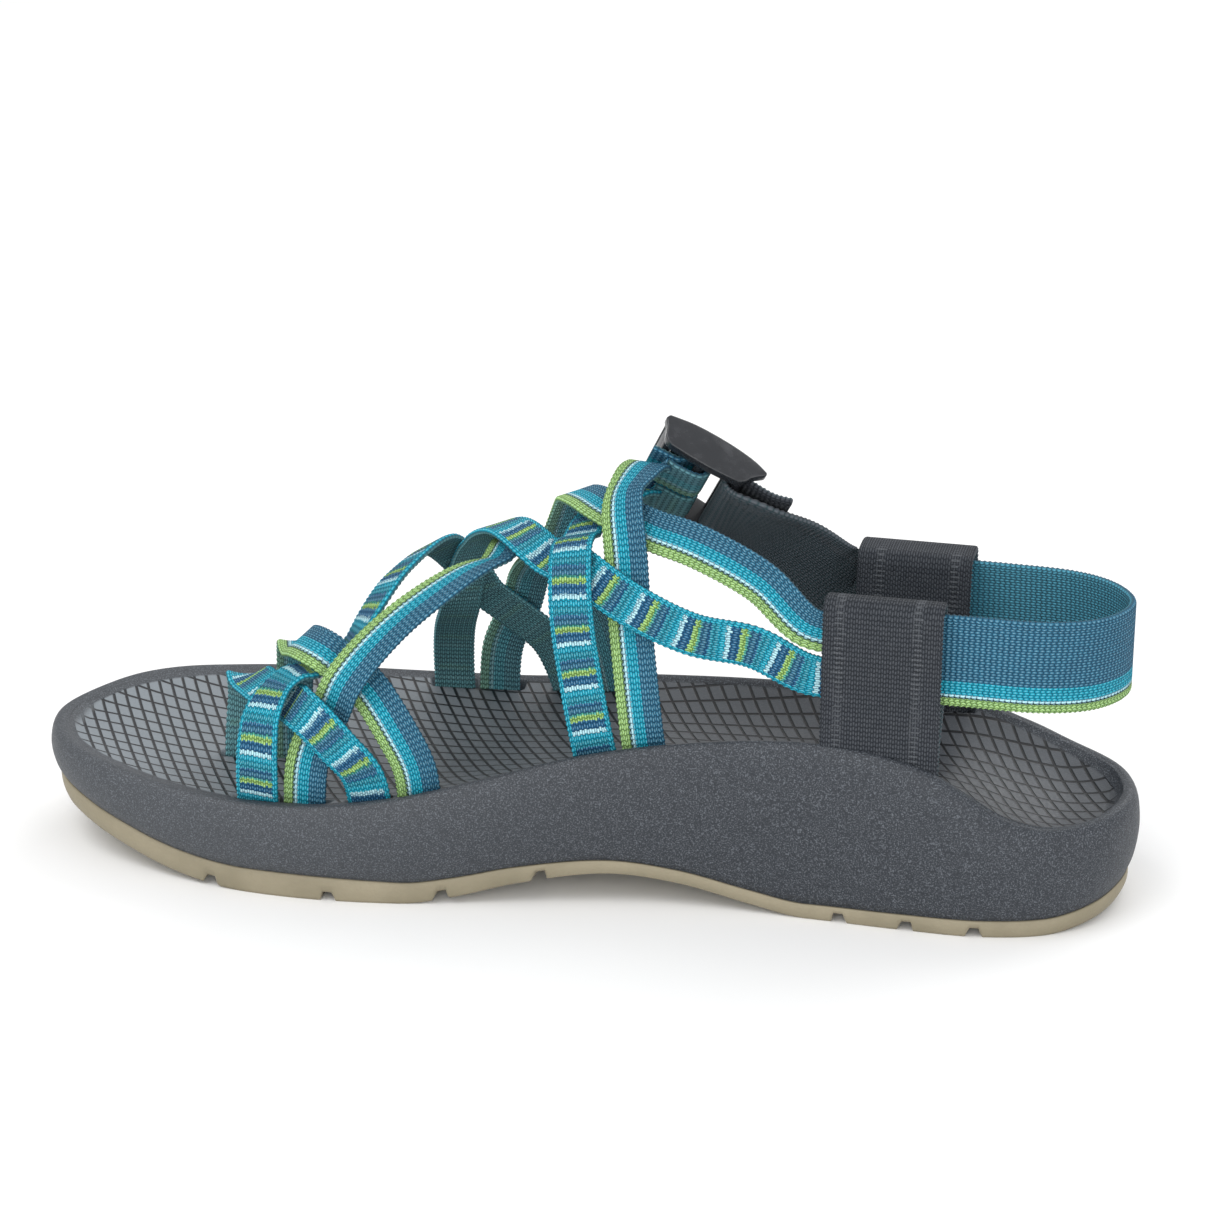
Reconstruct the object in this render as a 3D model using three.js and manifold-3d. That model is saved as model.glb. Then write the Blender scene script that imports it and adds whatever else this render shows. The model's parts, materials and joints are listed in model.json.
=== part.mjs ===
// Strappy sport sandal for a right foot, in millimetres.
// +X runs from toe to heel, -Y is the inner (medial) side, +Z is up, and the sole rests on Z = 0.
import * as THREE from "three";
import Module from "manifold-3d";

// ---- overall sizes ----
const SOLE_LENGTH = 266;
const SOLE_WIDTH = 96;
const HEEL_RIM_HEIGHT = 28;
const ARCH_RIM_HEIGHT = 45;
const INSTEP_HEIGHT = 98;

// ---- sole ----
const OUTSOLE_THICKNESS = 5.5;
const OUTSOLE_GAP = 0.3;
const TOE_SPRING = 12;
const ARCH_LIFT = 8;
const RIM_WIDTH = 4.4;
const GROOVE_WIDTH = 3;
const GROOVE_DEPTH = 2.2;
const GROOVE_REACH = 15;

// ---- narrow webbing ----
const WEB_WIDTH = 10.5;
const WEB_THICKNESS = 1.6;
const WEB_SPACING = 0.9;
const WEB_PITCH = WEB_WIDTH + WEB_SPACING;
const CROSSING_GAP = 1.2;
const SETTLING_ROUNDS = 90;
const SLOT_ROOM = 0.16 * WEB_WIDTH;
const TUNNEL_LEVEL = 12.5;

// ---- heel webbing and risers ----
const HEEL_STRAP_WIDTH = 22.5;
const HEEL_STRAP_THICKNESS = 1.8;
const RISER_WIDTH = 28;
const RISER_THICKNESS = 1.6;
const FIT_GAP = 0.5;
const MEDIAL_STRAP_LEVEL = INSTEP_HEIGHT - 31.5;
const LATERAL_STRAP_LEVEL = MEDIAL_STRAP_LEVEL - 5.3;
const RISER_STATION = 0.28 * SOLE_LENGTH;

// ---- buckle ----
const BESIDE_WEBS = 1.5;
const BUCKLE_STRAP_WIDTH = WEB_PITCH + WEB_WIDTH + BESIDE_WEBS;
const BUCKLE_STRAP_THICKNESS = 1.8;
const BUCKLE_LENGTH = 28;
const BUCKLE_PLAY = 1;
const BUCKLE_INSIDE = BUCKLE_STRAP_WIDTH + 2 * BUCKLE_PLAY;
const BUCKLE_RAIL = 2.6;
const REAR_BAR_AT = 7;
const MIDDLE_BAR_AT = 16.5;
const FRONT_BAR_AT = 25.5;
const BAR_RADIUS = 1.3;
const TAIL_LENGTH = 5.9;

const STATIONS = 40;
const ACROSS = 10;
const HALF_LENGTH = SOLE_LENGTH / 2;
const STRAP_LEAN_ROOM = 0.17 * BUCKLE_STRAP_WIDTH;

// The straps are laid out on a pattern sole; these carry their places over to this sole and webbing.
const PATTERN = { length: 266, width: 96, pitch: 11.4 };
const LONG = SOLE_LENGTH / PATTERN.length;
const WIDE = SOLE_WIDTH / PATTERN.width;
const WIDER = WEB_PITCH - PATTERN.pitch;
const SPREAD = WEB_PITCH - PATTERN.pitch * LONG;

const wasm = await Module();
wasm.setup();

// Smooth curve through (place, value) pairs: cubic pieces whose slopes come from the neighbours.
function profile(pairs) {
  const place = pairs.map((p) => p[0]);
  const value = pairs.map((p) => p[1]);
  const last = pairs.length - 1;
  const slope = value.map((_, i) => {
    const a = Math.max(0, i - 1);
    const b = Math.min(last, i + 1);
    return (value[b] - value[a]) / (place[b] - place[a]);
  });
  return (x) => {
    const at = Math.min(Math.max(x, place[0]), place[last]);
    let i = 0;
    while (i < last - 1 && at > place[i + 1]) i += 1;
    const step = place[i + 1] - place[i];
    const t = (at - place[i]) / step;
    const t2 = t * t;
    const t3 = t2 * t;
    const ends = (2 * t3 - 3 * t2 + 1) * value[i] + (3 * t2 - 2 * t3) * value[i + 1];
    return ends + (t3 - 2 * t2 + t) * step * slope[i] + (t3 - t2) * step * slope[i + 1];
  };
}

// The same curve with its places given as shares of half the sole's length.
function along(pairs) {
  const curve = profile(pairs);
  return (x) => curve(x / HALF_LENGTH);
}

// ---- plan of the sole ----
// Outline of the pattern size, inner side from toe to heel and outer side back, scaled to the sole's sizes.
const OUTLINE = [
  [-133, -8], [-128, -25], [-117, -35.5], [-100, -42.5], [-80, -46.8], [-60, -48], [-40, -46],
  [-20, -41.5], [0, -36.5], [20, -32.5], [40, -30.5], [60, -30.3], [80, -31], [100, -30.5],
  [116, -25.5], [128, -14.5], [133, 2], [128.5, 18], [116, 29], [100, 34], [80, 36.5], [60, 38.5],
  [40, 41], [20, 44], [0, 46.8], [-20, 48], [-40, 47], [-60, 44], [-80, 39], [-98, 32],
  [-114, 22.5], [-126, 9.5],
];

// Both sides of the outline from toe tip to heel tip, as equally spaced points [x, y, inward x, inward y].
function outlineSides(count) {
  const points = OUTLINE.map(([x, y]) => new THREE.Vector3(x, y, 0));
  const ring = new THREE.CatmullRomCurve3(points, true, "centripetal").getSpacedPoints(1600);
  ring.pop();
  const xs = ring.map((p) => p.x);
  const ys = ring.map((p) => p.y);
  const [x0, x1, y0, y1] = [Math.min(...xs), Math.max(...xs), Math.min(...ys), Math.max(...ys)];
  const plan = ring.map((p) => [
    ((p.x - x0) / (x1 - x0) - 0.5) * SOLE_LENGTH,
    ((p.y - y0) / (y1 - y0) - 0.5) * SOLE_WIDTH,
  ]);
  const n = plan.length;
  const toe = xs.indexOf(x0);
  const heel = xs.indexOf(x1);
  const walk = (from, to, turn) => {
    const steps = (((to - from) * turn) % n + n) % n;
    return Array.from({ length: count + 1 }, (_, i) => {
      const k = Math.round((steps * i) / count);
      const at = (from + turn * k + n * 4) % n;
      const [ax, ay] = plan[(at + n - 3) % n];
      const [bx, by] = plan[(at + 3) % n];
      const size = Math.hypot(bx - ax, by - ay);
      return [plan[at][0], plan[at][1], -(by - ay) / size, (bx - ax) / size];
    });
  };
  return { medial: walk(toe, heel, 1), lateral: walk(toe, heel, -1) };
}

const FINE = outlineSides(400);
const medialEdge = profileOfSide(FINE.medial);
const lateralEdge = profileOfSide(FINE.lateral);

// Edge place y at a station x, read off a finely sampled side.
function profileOfSide(side) {
  return (x) => {
    let i = 0;
    while (i < side.length - 2 && side[i + 1][0] < x) i += 1;
    const t = (x - side[i][0]) / (side[i + 1][0] - side[i][0] || 1);
    return side[i][1] + Math.min(Math.max(t, 0), 1) * (side[i + 1][1] - side[i][1]);
  };
}

// ---- heights along the sole ----
const ARCH = ARCH_RIM_HEIGHT - 25;
const HEEL = HEEL_RIM_HEIGHT;
const medialRim = along([
  [-1, 28], [-0.86, 27], [-0.72, 25], [-0.56, 24], [-0.41, 25], [-0.26, 25 + 0.15 * ARCH],
  [-0.11, 25 + 0.4 * ARCH], [0.04, 25 + 0.67 * ARCH], [0.23, 25 + 0.88 * ARCH], [0.41, 25 + ARCH],
  [0.53, 25 + 0.98 * ARCH], [0.64, 25 + 0.83 * ARCH], [0.72, 25 + 0.55 * ARCH], [0.78, HEEL + 3],
  [0.87, HEEL - 0.5], [1, HEEL],
]);
const lateralRim = along([
  [-1, 28], [-0.9, 29], [-0.73, 27.5], [-0.56, 26], [-0.38, 25], [-0.18, 25.5], [0.04, 29.5],
  [0.23, 32.5], [0.41, 34.5], [0.56, 35.5], [0.68, 35], [0.78, HEEL + 4], [0.87, HEEL + 1],
  [1, HEEL],
]);
const toeLift = along([
  [-1, TOE_SPRING], [-0.9, TOE_SPRING * 0.79], [-0.82, TOE_SPRING * 0.55],
  [-0.73, TOE_SPRING * 0.27], [-0.64, TOE_SPRING * 0.08], [-0.55, 0], [0.86, 0], [0.94, 1.5], [1, 4],
]);
const archLift = along([
  [-1, 0], [-0.27, 0], [-0.18, ARCH_LIFT * 0.22], [-0.07, ARCH_LIFT * 0.66], [0.08, ARCH_LIFT],
  [0.21, ARCH_LIFT * 0.78], [0.34, ARCH_LIFT * 0.28], [0.44, 0], [1, 0],
]);
const cupDepth = along([
  [-1, 1.5], [-0.8, 3], [-0.5, 3], [-0.2, 5], [0.1, 9], [0.4, 12], [0.6, 11], [0.8, 7], [1, 3],
]);

// Underside of the outsole: toe spring everywhere, arch lift fading out towards the outer side.
function groundLift(x, share) {
  return Math.max(0, toeLift(x)) + Math.max(0, archLift(x)) * (1 - share) ** 1.5;
}

// Top of the footbed: the two rims joined across, hollowed between them; taper brings it to a point at the tips.
function footbedHeight(x, share, taper = 1) {
  const mix = 0.5 + (share - 0.5) * taper;
  const rims = medialRim(x) * (1 - mix) + lateralRim(x) * mix;
  const reach = Math.abs(2 * share - 1);
  return rims - 0.8 - cupDepth(x) * (1 - reach ** 2.6) * taper;
}

// ---- mesh helpers ----
// Closed mesh from quads between matching loops; points that coincide are joined and empty faces dropped.
function solidFromLoops(loops, close) {
  const vertices = [];
  const found = new Map();
  const number = (p) => {
    const key = p.map((v) => Math.round(v * 1e4)).join(",");
    if (!found.has(key)) {
      found.set(key, vertices.length / 3);
      vertices.push(...p);
    }
    return found.get(key);
  };
  const ids = loops.map((loop) => loop.map(number));
  const faces = [];
  const face = (a, b, c) => {
    if (a !== b && b !== c && c !== a) faces.push(a, b, c);
  };
  const size = ids[0].length;
  for (let i = 0; i < ids.length - 1; i += 1) {
    for (let j = 0; j < size; j += 1) {
      const k = (j + 1) % size;
      face(ids[i][j], ids[i + 1][j], ids[i + 1][k]);
      face(ids[i][j], ids[i + 1][k], ids[i][k]);
    }
  }
  if (close) {
    for (let j = 1; j < size - 1; j += 1) {
      face(ids[0][0], ids[0][j], ids[0][j + 1]);
      face(ids[ids.length - 1][0], ids[ids.length - 1][j + 1], ids[ids.length - 1][j]);
    }
  }
  return solid(new Float32Array(vertices), new Uint32Array(faces));
}

function solid(vertProperties, triVerts) {
  const made = new wasm.Manifold(new wasm.Mesh({ numProp: 3, vertProperties, triVerts }));
  if (made.volume() > 0) return made;
  for (let i = 0; i < triVerts.length; i += 3) {
    [triVerts[i + 1], triVerts[i + 2]] = [triVerts[i + 2], triVerts[i + 1]];
  }
  return new wasm.Manifold(new wasm.Mesh({ numProp: 3, vertProperties, triVerts }));
}

// A three.js geometry as a solid for cutting and joining.
function solidOf(geometry) {
  const position = geometry.getAttribute("position");
  const index = geometry.index ? geometry.index.array : [...Array(position.count).keys()];
  const corner = (i) => [position.getX(i), position.getY(i), position.getZ(i)];
  const vertices = [];
  const found = new Map();
  const faces = [];
  for (const i of index) {
    const p = corner(i);
    const key = p.map((v) => Math.round(v * 1e4)).join(",");
    if (!found.has(key)) {
      found.set(key, vertices.length / 3);
      vertices.push(...p);
    }
    faces.push(found.get(key));
  }
  const kept = [];
  for (let i = 0; i < faces.length; i += 3) {
    const [a, b, c] = faces.slice(i, i + 3);
    if (a !== b && b !== c && c !== a) kept.push(a, b, c);
  }
  return solid(new Float32Array(vertices), new Uint32Array(kept));
}

// A box from its centre and sizes, turned about the upright axis.
function block(centre, sizes, turn = 0) {
  const box = new THREE.BoxGeometry(...sizes);
  box.rotateZ(turn);
  box.translate(...centre);
  return solidOf(box);
}

function joinAll(pieces) {
  return pieces.reduce((whole, piece) => whole.add(piece));
}

function cutAll(body, cutters) {
  return cutters.reduce((left, cutter) => left.subtract(cutter), body);
}

// ---- sole pieces ----
const soleThickness = along([[-1, 1], [-0.5, 1.15], [-0.2, 0.95], [0.1, 0.65], [0.5, 0.73], [1, 0.82]]);
const outsoleTop = (x, share) => groundLift(x, share) + OUTSOLE_THICKNESS * soleThickness(x);
const SIDES = outlineSides(STATIONS);

const inward = ([x, y, nx, ny], inset) => [x + nx * inset, y + ny * inset];

// Row of points across the sole between both edges set in by the same amount; height(x, share, taper) gives z.
function across(medial, lateral, inset, height) {
  const a = inward(medial, inset);
  const b = inward(lateral, inset);
  const taper = Math.min(1, Math.hypot(b[0] - a[0], b[1] - a[1]) / 26);
  return Array.from({ length: ACROSS + 1 }, (_, k) => {
    const share = k / ACROSS;
    const x = a[0] + (b[0] - a[0]) * share;
    return [x, a[1] + (b[1] - a[1]) * share, height(x, share, taper)];
  });
}

// Wall points from bottom to top at one edge point: levels are [inset, share of the wall's height].
function wall(point, levels, low, high) {
  return levels.map(([inset, up]) => [...inward(point, inset), low + (high - low) * up]);
}

function midsoleBlank() {
  const levels = [[2.2, 0], [0.8, 0.2], [0, 0.5], [0.4, 0.78], [1.4, 0.94], [3, 1]];
  const loops = SIDES.medial.map((m, i) => {
    const l = SIDES.lateral[i];
    const under = across(m, l, 2.2, (x, share) => outsoleTop(x, share) + OUTSOLE_GAP);
    const top = across(m, l, RIM_WIDTH, footbedHeight);
    const inner = wall(m, levels, under[0][2], medialRim(m[0]));
    const outer = wall(l, levels, under[ACROSS][2], lateralRim(l[0])).reverse();
    return [...inner, ...top, ...outer, ...under.slice(1, -1).reverse()];
  });
  return solidFromLoops(loops, false);
}

function outsole() {
  const loops = SIDES.medial.map((m, i) => {
    const l = SIDES.lateral[i];
    const low = across(m, l, 3, groundLift);
    const high = across(m, l, 2.2, outsoleTop);
    return [...low, ...high.reverse()];
  });
  const notch = (x, y, share) => {
    return block([x, y, groundLift(x, share)], [GROOVE_WIDTH, 2 * GROOVE_REACH, GROOVE_DEPTH * 2]);
  };
  const grooves = [-0.62, -0.4, -0.2, -0.03, 0.5, 0.62, 0.74].flatMap((share) => {
    const x = share * HALF_LENGTH;
    return [notch(x, medialEdge(x), 0), notch(x, lateralEdge(x), 1)];
  });
  return cutAll(solidFromLoops(loops, false), grooves);
}

// ---- foot form the webbing lies on ----
const crestHeight = along([
  [-0.83, 36], [-0.71, 39], [-0.6, 45], [-0.49, 54], [-0.38, 66], [-0.24, 77],
  [-0.11, INSTEP_HEIGHT - 14], [0, INSTEP_HEIGHT - 8], [0.15, INSTEP_HEIGHT],
  [0.3, INSTEP_HEIGHT + 6], [0.53, INSTEP_HEIGHT + 14],
]);
const formFloor = along([[-0.83, 23], [-0.6, 22], [-0.41, 22], [-0.22, 24], [0, 28], [0.15, 30], [0.5, 34]]);
const crestShift = along([[-0.83, -14], [-0.6, -14], [-0.38, -12], [-0.15, -10], [0.15, -8], [0.5, -4]]);
const FORM_INSET = 7.4;
const BOW = 0.9;

// Point of the foot form at a station x and a girth angle: 0 at the inner side, 90 on top, 180 outside.
function formPoint(x, angle) {
  const a = (angle * Math.PI) / 180;
  const inner = medialEdge(x) + FORM_INSET;
  const outer = lateralEdge(x) - FORM_INSET;
  const side = Math.sign(Math.cos(a)) * Math.abs(Math.cos(a)) ** BOW;
  const up = Math.sign(Math.sin(a)) * Math.abs(Math.sin(a)) ** BOW;
  const y = (inner + outer) / 2 - ((outer - inner) / 2) * side + crestShift(x) * WIDE * up;
  return new THREE.Vector3(x, y, formFloor(x) + (crestHeight(x) - formFloor(x)) * up);
}

function formNormal(x, angle) {
  const du = formPoint(x + 0.5, angle).sub(formPoint(x - 0.5, angle));
  const dv = formPoint(x, angle + 0.5).sub(formPoint(x, angle - 0.5));
  return du.cross(dv).normalize();
}

// One knot of a webbing path on the foot form, raised off it by some millimetres; beside is the way to the heel.
function on(station, angle, raised = 0, beside = 0) {
  const x = station * LONG + beside;
  const normal = formNormal(x, angle);
  return { at: formPoint(x, angle).addScaledVector(normal, raised), normal };
}

// The same for the striped webbing, which lies on the heel side of the patterned one.
const next = (station, angle, raised = 0) => on(station, angle, raised, SPREAD * 1.2);

const knot = (at, normal) => ({ at: new THREE.Vector3(...at), normal: new THREE.Vector3(...normal) });

// A knot at a place of the pattern sole.
const laid = ([x, y, z], normal, beside = 0) => knot([x * LONG + beside, y * WIDE, z], normal);

// The pairs of narrow webbings that cross on the foot form: the outer run, then the one it passes over.
const CROSSINGS = [
  ["patterned_instep", "patterned_heel"], ["patterned_heel", "striped_instep"],
  ["striped_instep", "striped_heel"], ["striped_heel", "patterned_instep"],
  ["patterned_heel", "striped_forefoot"], ["patterned_forefoot", "patterned_heel"],
  ["striped_heel", "patterned_forefoot"], ["striped_forefoot", "striped_heel"],
  ["patterned_forefoot", "patterned_toe"], ["patterned_toe", "striped_forefoot"],
  ["striped_forefoot", "striped_toe"], ["striped_toe", "patterned_forefoot"],
];

// ---- webbing ----
// Evenly spaced places along knots, each with its tangent and the normal its flat side faces.
function places(knots, steps) {
  const line = new THREE.CatmullRomCurve3(knots.map((k) => k.at), false, "centripetal");
  const faces = new THREE.CatmullRomCurve3(knots.map((k) => k.normal), false, "centripetal");
  return Array.from({ length: steps + 1 }, (_, i) => {
    const t = line.getUtoTmapping(i / steps);
    const tangent = line.getTangent(t).normalize();
    const normal = faces.getPoint(t);
    normal.addScaledVector(tangent, -normal.dot(tangent)).normalize();
    return { at: line.getPoint(t), tangent, normal };
  });
}

// A flat band swept through such places.
function band(line, width, thickness) {
  const loops = line.map(({ at, tangent, normal }) => {
    const across = new THREE.Vector3().crossVectors(tangent, normal);
    return [[-1, -1], [1, -1], [1, 1], [-1, 1]].map(([a, b]) => {
      const corner = at.clone().addScaledVector(across, (a * width) / 2);
      return corner.addScaledVector(normal, (b * thickness) / 2).toArray();
    });
  });
  return solidFromLoops(loops, true);
}

// Slots where the narrow webbings dive into the footbed: middle of the patterned webbing, the way along the
// slot to the striped one, the side its webbing faces, and the level of the tunnel below.
function edgeSlot(station, side, level) {
  const x = station * LONG;
  const edge = side < 0 ? medialEdge : lateralEdge;
  const y = edge(x) - side * FORM_INSET;
  const next = edge(x + WEB_PITCH) - side * FORM_INSET;
  return { x, y, dx: WEB_PITCH, dy: next - y, side, level };
}

const TOE_SLOT = edgeSlot(-71, -1, TUNNEL_LEVEL);
const BALL_SLOT = edgeSlot(-43.5, -1, TUNNEL_LEVEL);
const ARCH_SLOT = edgeSlot(8.2, -1, TUNNEL_LEVEL + 6.5);
const OUTER_FRONT_SLOT = edgeSlot(-44, 1, TUNNEL_LEVEL);
const OUTER_REAR_SLOT = edgeSlot(-12.5, 1, TUNNEL_LEVEL);
const TOE_POST_SLOT = { x: -83 * LONG, y: -12.5 * WIDE, dx: WEB_PITCH, dy: 3, side: 1, level: TUNNEL_LEVEL };

// Knots of a webbing end standing upright in its slot; shift is 0 for the patterned and 1 for the striped one.
function dive(slot, shift, height = 5) {
  const [x, y] = [slot.x + shift * slot.dx, slot.y + shift * slot.dy];
  const face = [-slot.dy * slot.side, slot.dx * slot.side, 0];
  const low = slot.level + 1.9;
  const size = Math.hypot(...face);
  const normal = face.map((v) => v / size);
  return [knot([x, y, low], normal), knot([x, y, low + height], normal)];
}

// Flat webbing lying in the tunnel between two slots.
function hiddenRun(from, to, shift) {
  const end = (slot) => [slot.x + shift * slot.dx, slot.y + shift * slot.dy, slot.level];
  return prismAlongY(end(from), end(to), WEB_WIDTH, WEB_THICKNESS);
}

// Straight bar between two points whose ends are upright rectangles across X.
function prismAlongY(a, b, width, thickness) {
  const corners = [[-1, -1], [1, -1], [1, 1], [-1, 1]];
  const ring = ([x, y, z]) => corners.map(([i, k]) => [x + (i * width) / 2, y, z + (k * thickness) / 2]);
  return solidFromLoops([ring(a), ring(b)], true);
}

// The room cut for a pair of webbings: both upright slots and the tunnel between them.
function slotRoom(slot) {
  const centre = [slot.x + slot.dx / 2, slot.y + slot.dy / 2, slot.level + 18.5];
  const length = Math.hypot(slot.dx, slot.dy) + WEB_WIDTH + 2 * SLOT_ROOM;
  const size = [length, WEB_THICKNESS + 2 * SLOT_ROOM, 40];
  return block(centre, size, Math.atan2(slot.dy, slot.dx));
}

function tunnelRoom(from, to) {
  const middle = (slot) => [slot.x + slot.dx / 2, slot.y + slot.dy / 2, slot.level];
  const [a, b] = [middle(from), middle(to)];
  const stretch = 2.2 / Math.hypot(b[0] - a[0], b[1] - a[1]);
  const beyond = (p, q) => p.map((v, i) => v + (v - q[i]) * stretch);
  const width = WEB_PITCH + WEB_WIDTH + 2 * SLOT_ROOM;
  return prismAlongY(beyond(a, b), beyond(b, a), width, WEB_THICKNESS + 1.4);
}

// ---- buckle place and axes: forward along the strap to the lip, out of the foot, and across ----
const BUCKLE_AT = new THREE.Vector3(35.2 * LONG, 16.1 * WIDE, INSTEP_HEIGHT - 15.1);
const FORWARD = new THREE.Vector3(-0.907, -0.08, 0.414).normalize();
const OUTWARD = new THREE.Vector3(0.182, 0.81, 0.556);
OUTWARD.addScaledVector(FORWARD, -OUTWARD.dot(FORWARD)).normalize();
const SIDEWAYS = new THREE.Vector3().crossVectors(FORWARD, OUTWARD);

function buckleSpot(u, n, w = 0) {
  const spot = BUCKLE_AT.clone().addScaledVector(FORWARD, u);
  return spot.addScaledVector(OUTWARD, n).addScaledVector(SIDEWAYS, w);
}

function buckleKnot(u, n, w, turn = 0) {
  const a = (turn * Math.PI) / 180;
  const normal = OUTWARD.clone().multiplyScalar(Math.cos(a)).addScaledVector(FORWARD, Math.sin(a));
  return { at: buckleSpot(u, n, w), normal };
}

// A solid built with x forward, y outward, z sideways, moved to the buckle's place.
function placedOnBuckle(geometry) {
  const place = new THREE.Matrix4().makeBasis(FORWARD, OUTWARD, SIDEWAYS).setPosition(BUCKLE_AT);
  return solidOf(geometry.applyMatrix4(place));
}

// ---- the two narrow webbings, run by run ----
const LANE = { patterned: WEB_PITCH / 2, striped: -WEB_PITCH / 2 };
const WRAP_LEVEL = BAR_RADIUS + 0.3 + WEB_THICKNESS / 2;
const RUN_END = MIDDLE_BAR_AT + 5.8;
const TAIL_LEVEL = WEB_THICKNESS / 2 - 1.25;
const FRONT_BAR_LEVEL = TAIL_LEVEL + WEB_THICKNESS / 2 + 0.35 + BAR_RADIUS;

const MEDIAL_OUTER_LEG = medialEdge(RISER_STATION) + 4;
const LATERAL_OUTER_LEG = lateralEdge(RISER_STATION) - 4;
const MEDIAL_WEB_Y = MEDIAL_OUTER_LEG + (RISER_THICKNESS + WEB_THICKNESS) / 2 + FIT_GAP;
const MEDIAL_HEEL_Y = MEDIAL_WEB_Y + (WEB_THICKNESS + HEEL_STRAP_THICKNESS) / 2 + FIT_GAP;
const BUCKLE_STRAP_Y = LATERAL_OUTER_LEG - (RISER_THICKNESS + BUCKLE_STRAP_THICKNESS) / 2 - FIT_GAP;
const LATERAL_HEEL_Y = BUCKLE_STRAP_Y - (BUCKLE_STRAP_THICKNESS + HEEL_STRAP_THICKNESS) / 2 - FIT_GAP;
const RISER_FRONT = RISER_STATION - RISER_WIDTH / 2;
const RISER_REAR = RISER_STATION + RISER_WIDTH / 2;

// End of an incoming webbing: a tight turn over the instep, then flat under the buckle's front bar.
// The offsets are from the end of the run.
function turnIntoBuckle(lane, offsets) {
  const end = buckleKnot(RUN_END, -WRAP_LEVEL, lane);
  const face = [new THREE.Vector3(0, 0, 1), new THREE.Vector3(0.05, 0.3, 0.95), new THREE.Vector3(0.15, 0.62, 0.77)];
  const bend = offsets.map((place, i) => {
    return { at: end.at.clone().add(new THREE.Vector3(...place)), normal: face[i] };
  });
  return [...bend, buckleKnot(RUN_END + 2.4, -WRAP_LEVEL, lane), end];
}

function patternedInstep() {
  const lane = LANE.patterned;
  return [
    ...dive(ARCH_SLOT, 0, 12), on(6.8, 11), on(5, 21), on(2.5, 38), on(1.4, 57), on(0, 75, -0.4), on(0.3, 90, -1),
    ...turnIntoBuckle(lane, [[-8.6, -13.5, 2.8], [-4.6, -6.2, 3.4], [-2.7, -1.6, 1.7]]),
  ];
}

function stripedInstep() {
  const lane = LANE.striped;
  return [
    ...dive(ARCH_SLOT, 1, 12), next(18.4, 11), next(17, 22), next(14.6, 40.5), next(12.8, 58), next(11.4, 72),
    next(11.2, 81, 0.6), ...turnIntoBuckle(lane, [[-5, -11, 2.7], [-4, -4.4, 2.9], [-3.4, -1.2, 1.2]]),
  ];
}

function patternedForefoot() {
  return [
    ...dive(TOE_SLOT, 0), on(-70, 14), on(-69.2, 30), on(-68.2, 45), on(-66.2, 58.5), on(-59.8, 69.5),
    on(-50.5, 79), on(-44, 92, 1), on(-38.8, 110, 1), on(-36.2, 131), on(-33, 147), on(-26, 158.5),
    on(-18.5, 169), ...dive(OUTER_REAR_SLOT, 0).reverse(),
  ];
}

function stripedForefoot() {
  return [
    ...dive(TOE_SLOT, 1), next(-58.4, 14), next(-56.4, 25), next(-54.3, 33), next(-48.8, 46), next(-39.6, 58.6),
    next(-29, 71, -1), next(-22.5, 86, -2), next(-21, 98, -2), next(-21.8, 116, -1), next(-20.8, 132, 0.4),
    next(-15.5, 149), next(-7.5, 164), ...dive(OUTER_REAR_SLOT, 1).reverse(),
  ];
}

function patternedToeLoop() {
  return [
    ...dive(TOE_POST_SLOT, 0, 8), laid([-82.6, -12.8, 35], [0.25, 0.95, 0.2]),
    laid([-81.3, -16, 42.6], [0.15, 0.62, 0.75]), on(-77.5, 83), on(-72.3, 69.8), on(-66.7, 57),
    on(-61.3, 44.4), on(-56.1, 33), on(-50.3, 20.8), on(-45, 10), ...dive(BALL_SLOT, 0).reverse(),
  ];
}

function stripedToeLoop() {
  return [
    ...dive(TOE_POST_SLOT, 1, 8), laid([-71.2, -9.8, 40], [0.25, 0.95, 0.2], SPREAD),
    laid([-69.3, -13.5, 50.2], [0.15, 0.62, 0.75], SPREAD), next(-64.5, 82), next(-59, 69.4), next(-53.9, 58.2),
    next(-49.3, 47.6), next(-43.3, 34.2), next(-37, 20), next(-33, 9), ...dive(BALL_SLOT, 1).reverse(),
  ];
}

function patternedHeelRun() {
  const z = MEDIAL_STRAP_LEVEL - WEB_PITCH / 2;
  return [
    ...dive(OUTER_FRONT_SLOT, 0), on(-43.4, 168), on(-41.2, 152), on(-36.4, 132), on(-29, 114, 1),
    on(-20.3, 98, 1), on(-10, 78), on(1.4, 57), on(14.6, 40.5), on(30, 29.5), on(44, 25),
    knot([RISER_FRONT - 3, MEDIAL_WEB_Y, z], [0, -1, 0]),
    knot([RISER_FRONT + 8, MEDIAL_WEB_Y, z], [0, -1, 0]), knot([RISER_REAR - 5, MEDIAL_WEB_Y, z], [0, -1, 0]),
  ];
}

function stripedHeelRun() {
  const z = MEDIAL_STRAP_LEVEL + WEB_PITCH / 2;
  return [
    ...dive(OUTER_FRONT_SLOT, 1), next(-31.2, 170), next(-25.7, 158), next(-22, 146), next(-18.2, 134),
    next(-13, 120, 0.2), next(-5.5, 105, 0.6), next(0.2, 92, 0.6), next(5, 83, 0.3), next(11.2, 73), next(20, 61), next(31, 51 + WIDER),
    next(45, 39.5 + 1.6 * WIDER), knot([RISER_FRONT - 3, MEDIAL_WEB_Y, z], [0, -1, 0]),
    knot([RISER_FRONT + 8, MEDIAL_WEB_Y, z], [0, -1, 0]), knot([RISER_REAR - 5, MEDIAL_WEB_Y, z], [0, -1, 0]),
  ];
}

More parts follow.
